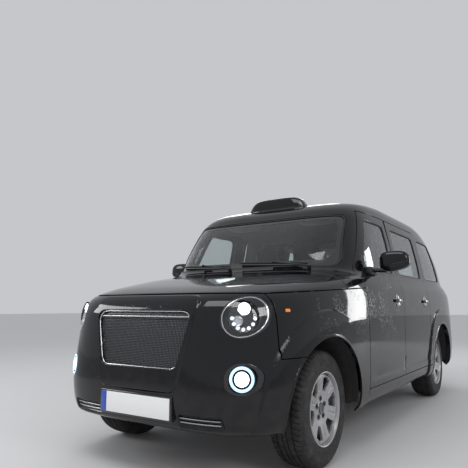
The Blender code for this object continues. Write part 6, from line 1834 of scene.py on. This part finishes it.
place("partitionPane", pane, "body", materials=(screenGlass,))

# Dashboard fittings, steering wheel, mirror, visors, floor mats and belts
dashForm = {
    "hood": (0.175, 0.09, 0.06), "hoodY": -0.81, "hoodZ": 1.085, "dialOut": 0.075, "dialRadius": 0.048,
    "ventX": (-0.6, -0.155, 0.155, 0.6), "louvres": 4, "louvrePitch": 0.011, "knobX": (-0.06, 0.0, 0.06),
    "pedalGap": 0.09,
}
dash = bmesh.new()
part = swollen(dashForm["hood"], 3.0, 12)
shift(part, (driverX, dashForm["hoodY"], dashForm["hoodZ"]))
addPart(dash, part, 0)
for x in (driverX - dashForm["dialOut"], driverX + dashForm["dialOut"]):
    addRod(dash, (x, -0.745, 1.1), (x, -0.722, 1.094), dashForm["dialRadius"], 1, 40, bevel=0.003)
addBox(dash, (-0.115, -0.8, 0.96), (0.115, -0.715, 1.15), 0.012, 0)
addBox(dash, (-0.098, -0.718, 0.985), (0.098, -0.711, 1.13), 0.004, 1)
for x in dashForm["ventX"]:
    addBox(dash, (x - 0.055, -0.775, 1.005), (x + 0.055, -0.735, 1.06), 0.008, 0)
    for k in range(dashForm["louvres"]):
        z = 1.013 + dashForm["louvrePitch"] * k
        addBox(dash, (x - 0.047, -0.738, z), (x + 0.047, -0.731, z + 0.005), 0.001, 2)
for x in dashForm["knobX"]:
    addRod(dash, (x, -0.742, 0.925), (x, -0.716, 0.925), 0.019, 2, 28, bevel=0.003)
addBox(dash, (0.22, -0.765, 0.82), (0.64, -0.738, 0.985), 0.01, 0)
addBox(dash, (-0.1, -0.76, 0.4), (0.1, -0.64, 0.88), 0.02, 0)
addRod(dash, (0.0, -0.68, 0.86), (0.0, -0.655, 0.985), 0.009, 2, 16)
addRod(dash, (0.0, -0.655, 0.97), (0.0, -0.648, 1.01), 0.02, 2, 20, bevel=0.006)
for x in (driverX - dashForm["pedalGap"], driverX, driverX + dashForm["pedalGap"]):
    addBox(dash, (x - 0.028, -0.88, 0.4), (x + 0.028, -0.86, 0.47), 0.004, 2)
shadeSmooth(dash)
place("dashFittings", dash, "body", materials=(trimDark, glossPlastic, blackPlastic))

steering = {"y": -0.62, "z": 1.01, "tilt": 28.0, "radius": 0.176, "grip": 0.0145, "steps": 56,
            "spokes": (0.0, 180.0, 270.0)}
hand = bmesh.new()
tilt = math.radians(steering["tilt"])
column = Vector((0, math.cos(tilt), math.sin(tilt)))
seat = Matrix.Translation((driverX, steering["y"], steering["z"])) @ turnTo(Vector((1, 0, 0)), column)
ring = [seat @ Vector((*p, 0)) for p in circle((0, 0), steering["radius"], steering["steps"])]
addTube(hand, ring, steering["grip"], 1, closed=True, sides=4)
part = swollen((0.062, 0.052, 0.02), 3.2, 10)
addPart(hand, part, 0, seat @ Matrix.Translation((0, 0, 0.002)))
for angle in (math.radians(degrees) for degrees in steering["spokes"]):
    way = Vector((math.cos(angle), math.sin(angle), 0))
    spoke = ((0.045, -0.004), (0.11, -0.006), (0.172, 0.0))
    addTube(hand, [seat @ (way * out + Vector((0, 0, drop))) for out, drop in spoke], 0.012, 0)
addRod(hand, seat @ Vector((0, 0, -0.036)), seat @ Vector((0, 0, -0.004)), 0.03, 0, 24)
outward(hand)
shadeSmooth(hand, 40)
place("steeringWheel", hand, "hand_wheel", ["steering_wheel"], "black_plastic", (trimDark, seatHide))

cabinForm = {
    "mats": ((-0.07, -0.7, -0.69, -0.115), (0.09, 0.7, -0.94, -0.115), (-0.72, 0.72, -0.04, 0.43)),
    "matLowZ": 0.3405, "matHighZ": 0.3465, "gripY": (0.25, 0.6), "visorTilt": 62.0,
    "belt": ((0.7, -0.085, 1.46), (0.715, -0.088, 1.2), (0.735, -0.09, 0.9), (0.735, -0.08, 0.52)),
    "grip": ((0.6, -0.08, 1.66), (0.585, -0.05, 1.615), (0.585, 0.05, 1.615), (0.6, 0.08, 1.66)),
}
cabin = bmesh.new()
for side in sides.values():
    addTube(cabin, [seat @ Vector((side * 0.03, 0, -0.06)), seat @ Vector((side * 0.17, 0.02, -0.055))], 0.008, 0)
    part = swollen((0.175, 0.012, 0.065), 3.5, 8)
    turned = Matrix.Rotation(math.radians(cabinForm["visorTilt"]), 4, "X")
    addPart(cabin, part, 2, Matrix.Translation((side * 0.36, -0.585, 1.64)) @ turned)
part = swollen((0.12, 0.014, 0.036), 3.4, 10)
shift(part, (0, -0.7, 1.575))
addPart(cabin, part, 0)
addBox(cabin, (-0.11, -0.6885, 1.546), (0.11, -0.6845, 1.604), 0.002, 1)
addTube(cabin, [(0, -0.705, 1.59), (0, -0.72, 1.64), (0, -0.7, 1.68)], 0.008, 0)
for x, farX, y, farY in cabinForm["mats"]:
    addBox(cabin, (x, y, cabinForm["matLowZ"]), (farX, farY, cabinForm["matHighZ"]), 0.002, 3)
for side in sides.values():
    addTube(cabin, [(side * x, y, z) for x, y, z in cabinForm["belt"]], 0.008, 0)
    addBox(cabin, (side * 0.7 - 0.02, -0.105, 1.44), (side * 0.7 + 0.02, -0.085, 1.5), 0.006, 0)
    for gripY in cabinForm["gripY"]:
        addTube(cabin, [(side * x, gripY + y, z) for x, y, z in cabinForm["grip"]], 0.01, 4)
addBox(cabin, (-0.1, -0.15, 1.33), (0.13, -0.105, 1.56), 0.008, 0)
outward(cabin)
shadeSmooth(cabin, 40)
place("cabinFittings", cabin, "body", materials=(trimDark, mirrorFace, headlining, floorMat, yellowTrim))
print("cabin made")

# Underneath: the exhaust, coil springs and dampers
exhaust = {
    "path": (
        (-0.22, -1.1, 0.3), (-0.22, -0.9, 0.262), (-0.22, 0.1, 0.255), (-0.24, 0.8, 0.262),
        (-0.42, 1.06, 0.3), (-0.45, 1.55, 0.36), (-0.52, 1.95, 0.33), (-0.56, 2.185, 0.315),
    ),
    "radius": 0.026, "silencer": (0.105, 0.29, 0.062), "silencerAt": (-0.23, 0.34, 0.222), "tailRadius": 0.031,
}
spring = {"x": 0.5, "radius": 0.058, "lowZ": 0.372, "height": 0.084, "turns": 6, "wire": 0.0065, "places": 97}
under = bmesh.new()
addTube(under, exhaust["path"], exhaust["radius"], 0)
part = swollen(exhaust["silencer"], 3.0, 12)
shift(part, exhaust["silencerAt"])
addPart(under, part, 0)
addTube(under, [(-0.56, 2.1, 0.3165), (-0.56, 2.215, 0.313)], exhaust["tailRadius"], 1)
for side in sides.values():
    coil = []
    for share in (k / (spring["places"] - 1) for k in range(spring["places"])):
        angle = 2 * math.pi * share * spring["turns"]
        coil.append((side * spring["x"] + spring["radius"] * math.cos(angle),
                     cab["rearAxleY"] + spring["radius"] * math.sin(angle),
                     spring["lowZ"] + spring["height"] * share))
    addTube(under, coil, spring["wire"], 2)
    addRod(under, (side * 0.42, 1.47, 0.3), (side * 0.4, 1.52, 0.455), 0.02, 2, 20)
outward(under)
shadeSmooth(under, 40)
exhaustSteel = metalFinish("exhaustSteel", (0.22, 0.2, 0.18), 0.38, 0.9, rust=0.4)
place("underFittings", under, "body", materials=(exhaustSteel, chrome, steelDark))

# Procedural finishes on the frame's own solids that stay in view
cadFinishes = {
    "floor_pan": steelDark, "front_subframe": steelDark, "rear_axle": steelDark, "engine_block": steelDark,
    "knuckle_left": steelDark, "knuckle_right": steelDark, "dashboard": trimDark,
}
for name, finish in cadFinishes.items():
    solid = bpy.data.objects[name]
    solid.data.materials.clear()
    solid.data.materials.append(finish)
print("underside and solids finished")

# The studio: a plain pale floor and sky, soft lamps, and the photograph's angle
studio = {
    "floor": (0.56, 0.56, 0.565), "sky": (0.56, 0.57, 0.59), "fill": (0.7, 0.71, 0.73), "floorSize": 60.0,
    "lens": 496.0 / 468 * 36, "place": (2.06, -4.36, 0.924), "yaw": 33.95, "pitch": 8.37,
}
softboxes = {
    "overhead": ((0.5, -4.6, 6.2), (0.0, -0.8, 0.8), (5.0, 2.4), 150.0),
    "sideStrip": ((4.8, 7.4, 2.15), (0.9, 0.6, 0.9), (1.2, 3.0), 75.0),
    "frontRight": ((5.2, -3.2, 3.4), (0.6, -1.6, 0.7), (2.0, 2.0), 70.0),
    "frontLeft": ((-5.0, -4.6, 3.2), (-0.6, -1.6, 0.7), (2.4, 1.6), 80.0),
    "rear": ((-3.5, 5.6, 4.0), (0.0, 1.8, 0.9), (3.0, 2.0), 70.0),
}
ground = Finish("studioFloor", studio["floor"])
ground.color(ground.blend(ground.spread(ground.noise(0.8), 0.3, 0.7, 0.0, 1.0), studio["floor"],
                          tuple(c * 0.98 for c in studio["floor"])))
ground.rough(ground.spread(ground.noise(6.0), 0.3, 0.7, 0.6, 0.66))
bm = bmesh.new()
bmesh.ops.create_grid(bm, x_segments=1, y_segments=1, size=studio["floorSize"])
floorMesh = bpy.data.meshes.new("studioFloor")
bm.to_mesh(floorMesh)
bm.free()
floorMesh.materials.append(ground.material)
floor = bpy.data.objects.new("studioFloor", floorMesh)
bpy.context.scene.collection.objects.link(floor)

world = bpy.data.worlds.new("studioSky")
bpy.context.scene.world = world
world.use_nodes = True
nodes, links = world.node_tree.nodes, world.node_tree.links
rays = nodes.new("ShaderNodeLightPath")
seen = None
for kind in ("Is Camera Ray", "Is Glossy Ray", "Is Transmission Ray"):
    if seen is None:
        seen = rays.outputs[kind]
        continue
    either = nodes.new("ShaderNodeMath")
    either.operation = "MAXIMUM"
    links.new(seen, either.inputs[0])
    links.new(rays.outputs[kind], either.inputs[1])
    seen = either.outputs[0]
tone = nodes.new("ShaderNodeMix")
tone.data_type = "RGBA"
tone.inputs[6].default_value, tone.inputs[7].default_value = (*studio["fill"], 1.0), (*studio["sky"], 1.0)
links.new(seen, tone.inputs[0])
links.new(tone.outputs[2], nodes["Background"].inputs["Color"])

for name, (spot, target, size, power) in softboxes.items():
    lamp = bpy.data.lights.new(name, "AREA")
    lamp.shape, lamp.size, lamp.size_y, lamp.energy = "RECTANGLE", size[0], size[1], power
    holder = bpy.data.objects.new(name, lamp)
    holder.location = spot
    holder.rotation_euler = (Vector(target) - Vector(spot)).to_track_quat("-Z", "Y").to_euler()
    holder.visible_camera = False
    bpy.context.scene.collection.objects.link(holder)

camera = bpy.data.cameras.new("camera")
camera.lens, camera.sensor_width = studio["lens"], 36
cameraObject = bpy.data.objects.new("camera", camera)
bpy.context.scene.collection.objects.link(cameraObject)
cameraObject.location = studio["place"]
yaw, pitch = math.radians(studio["yaw"]), math.radians(studio["pitch"])
forward = Vector((-math.sin(yaw) * math.cos(pitch), math.cos(yaw) * math.cos(pitch), math.sin(pitch)))
cameraObject.rotation_euler = forward.to_track_quat("-Z", "Y").to_euler()
bpy.context.scene.camera = cameraObject
bpy.context.scene.view_settings.view_transform = "Standard"
print("studio set")
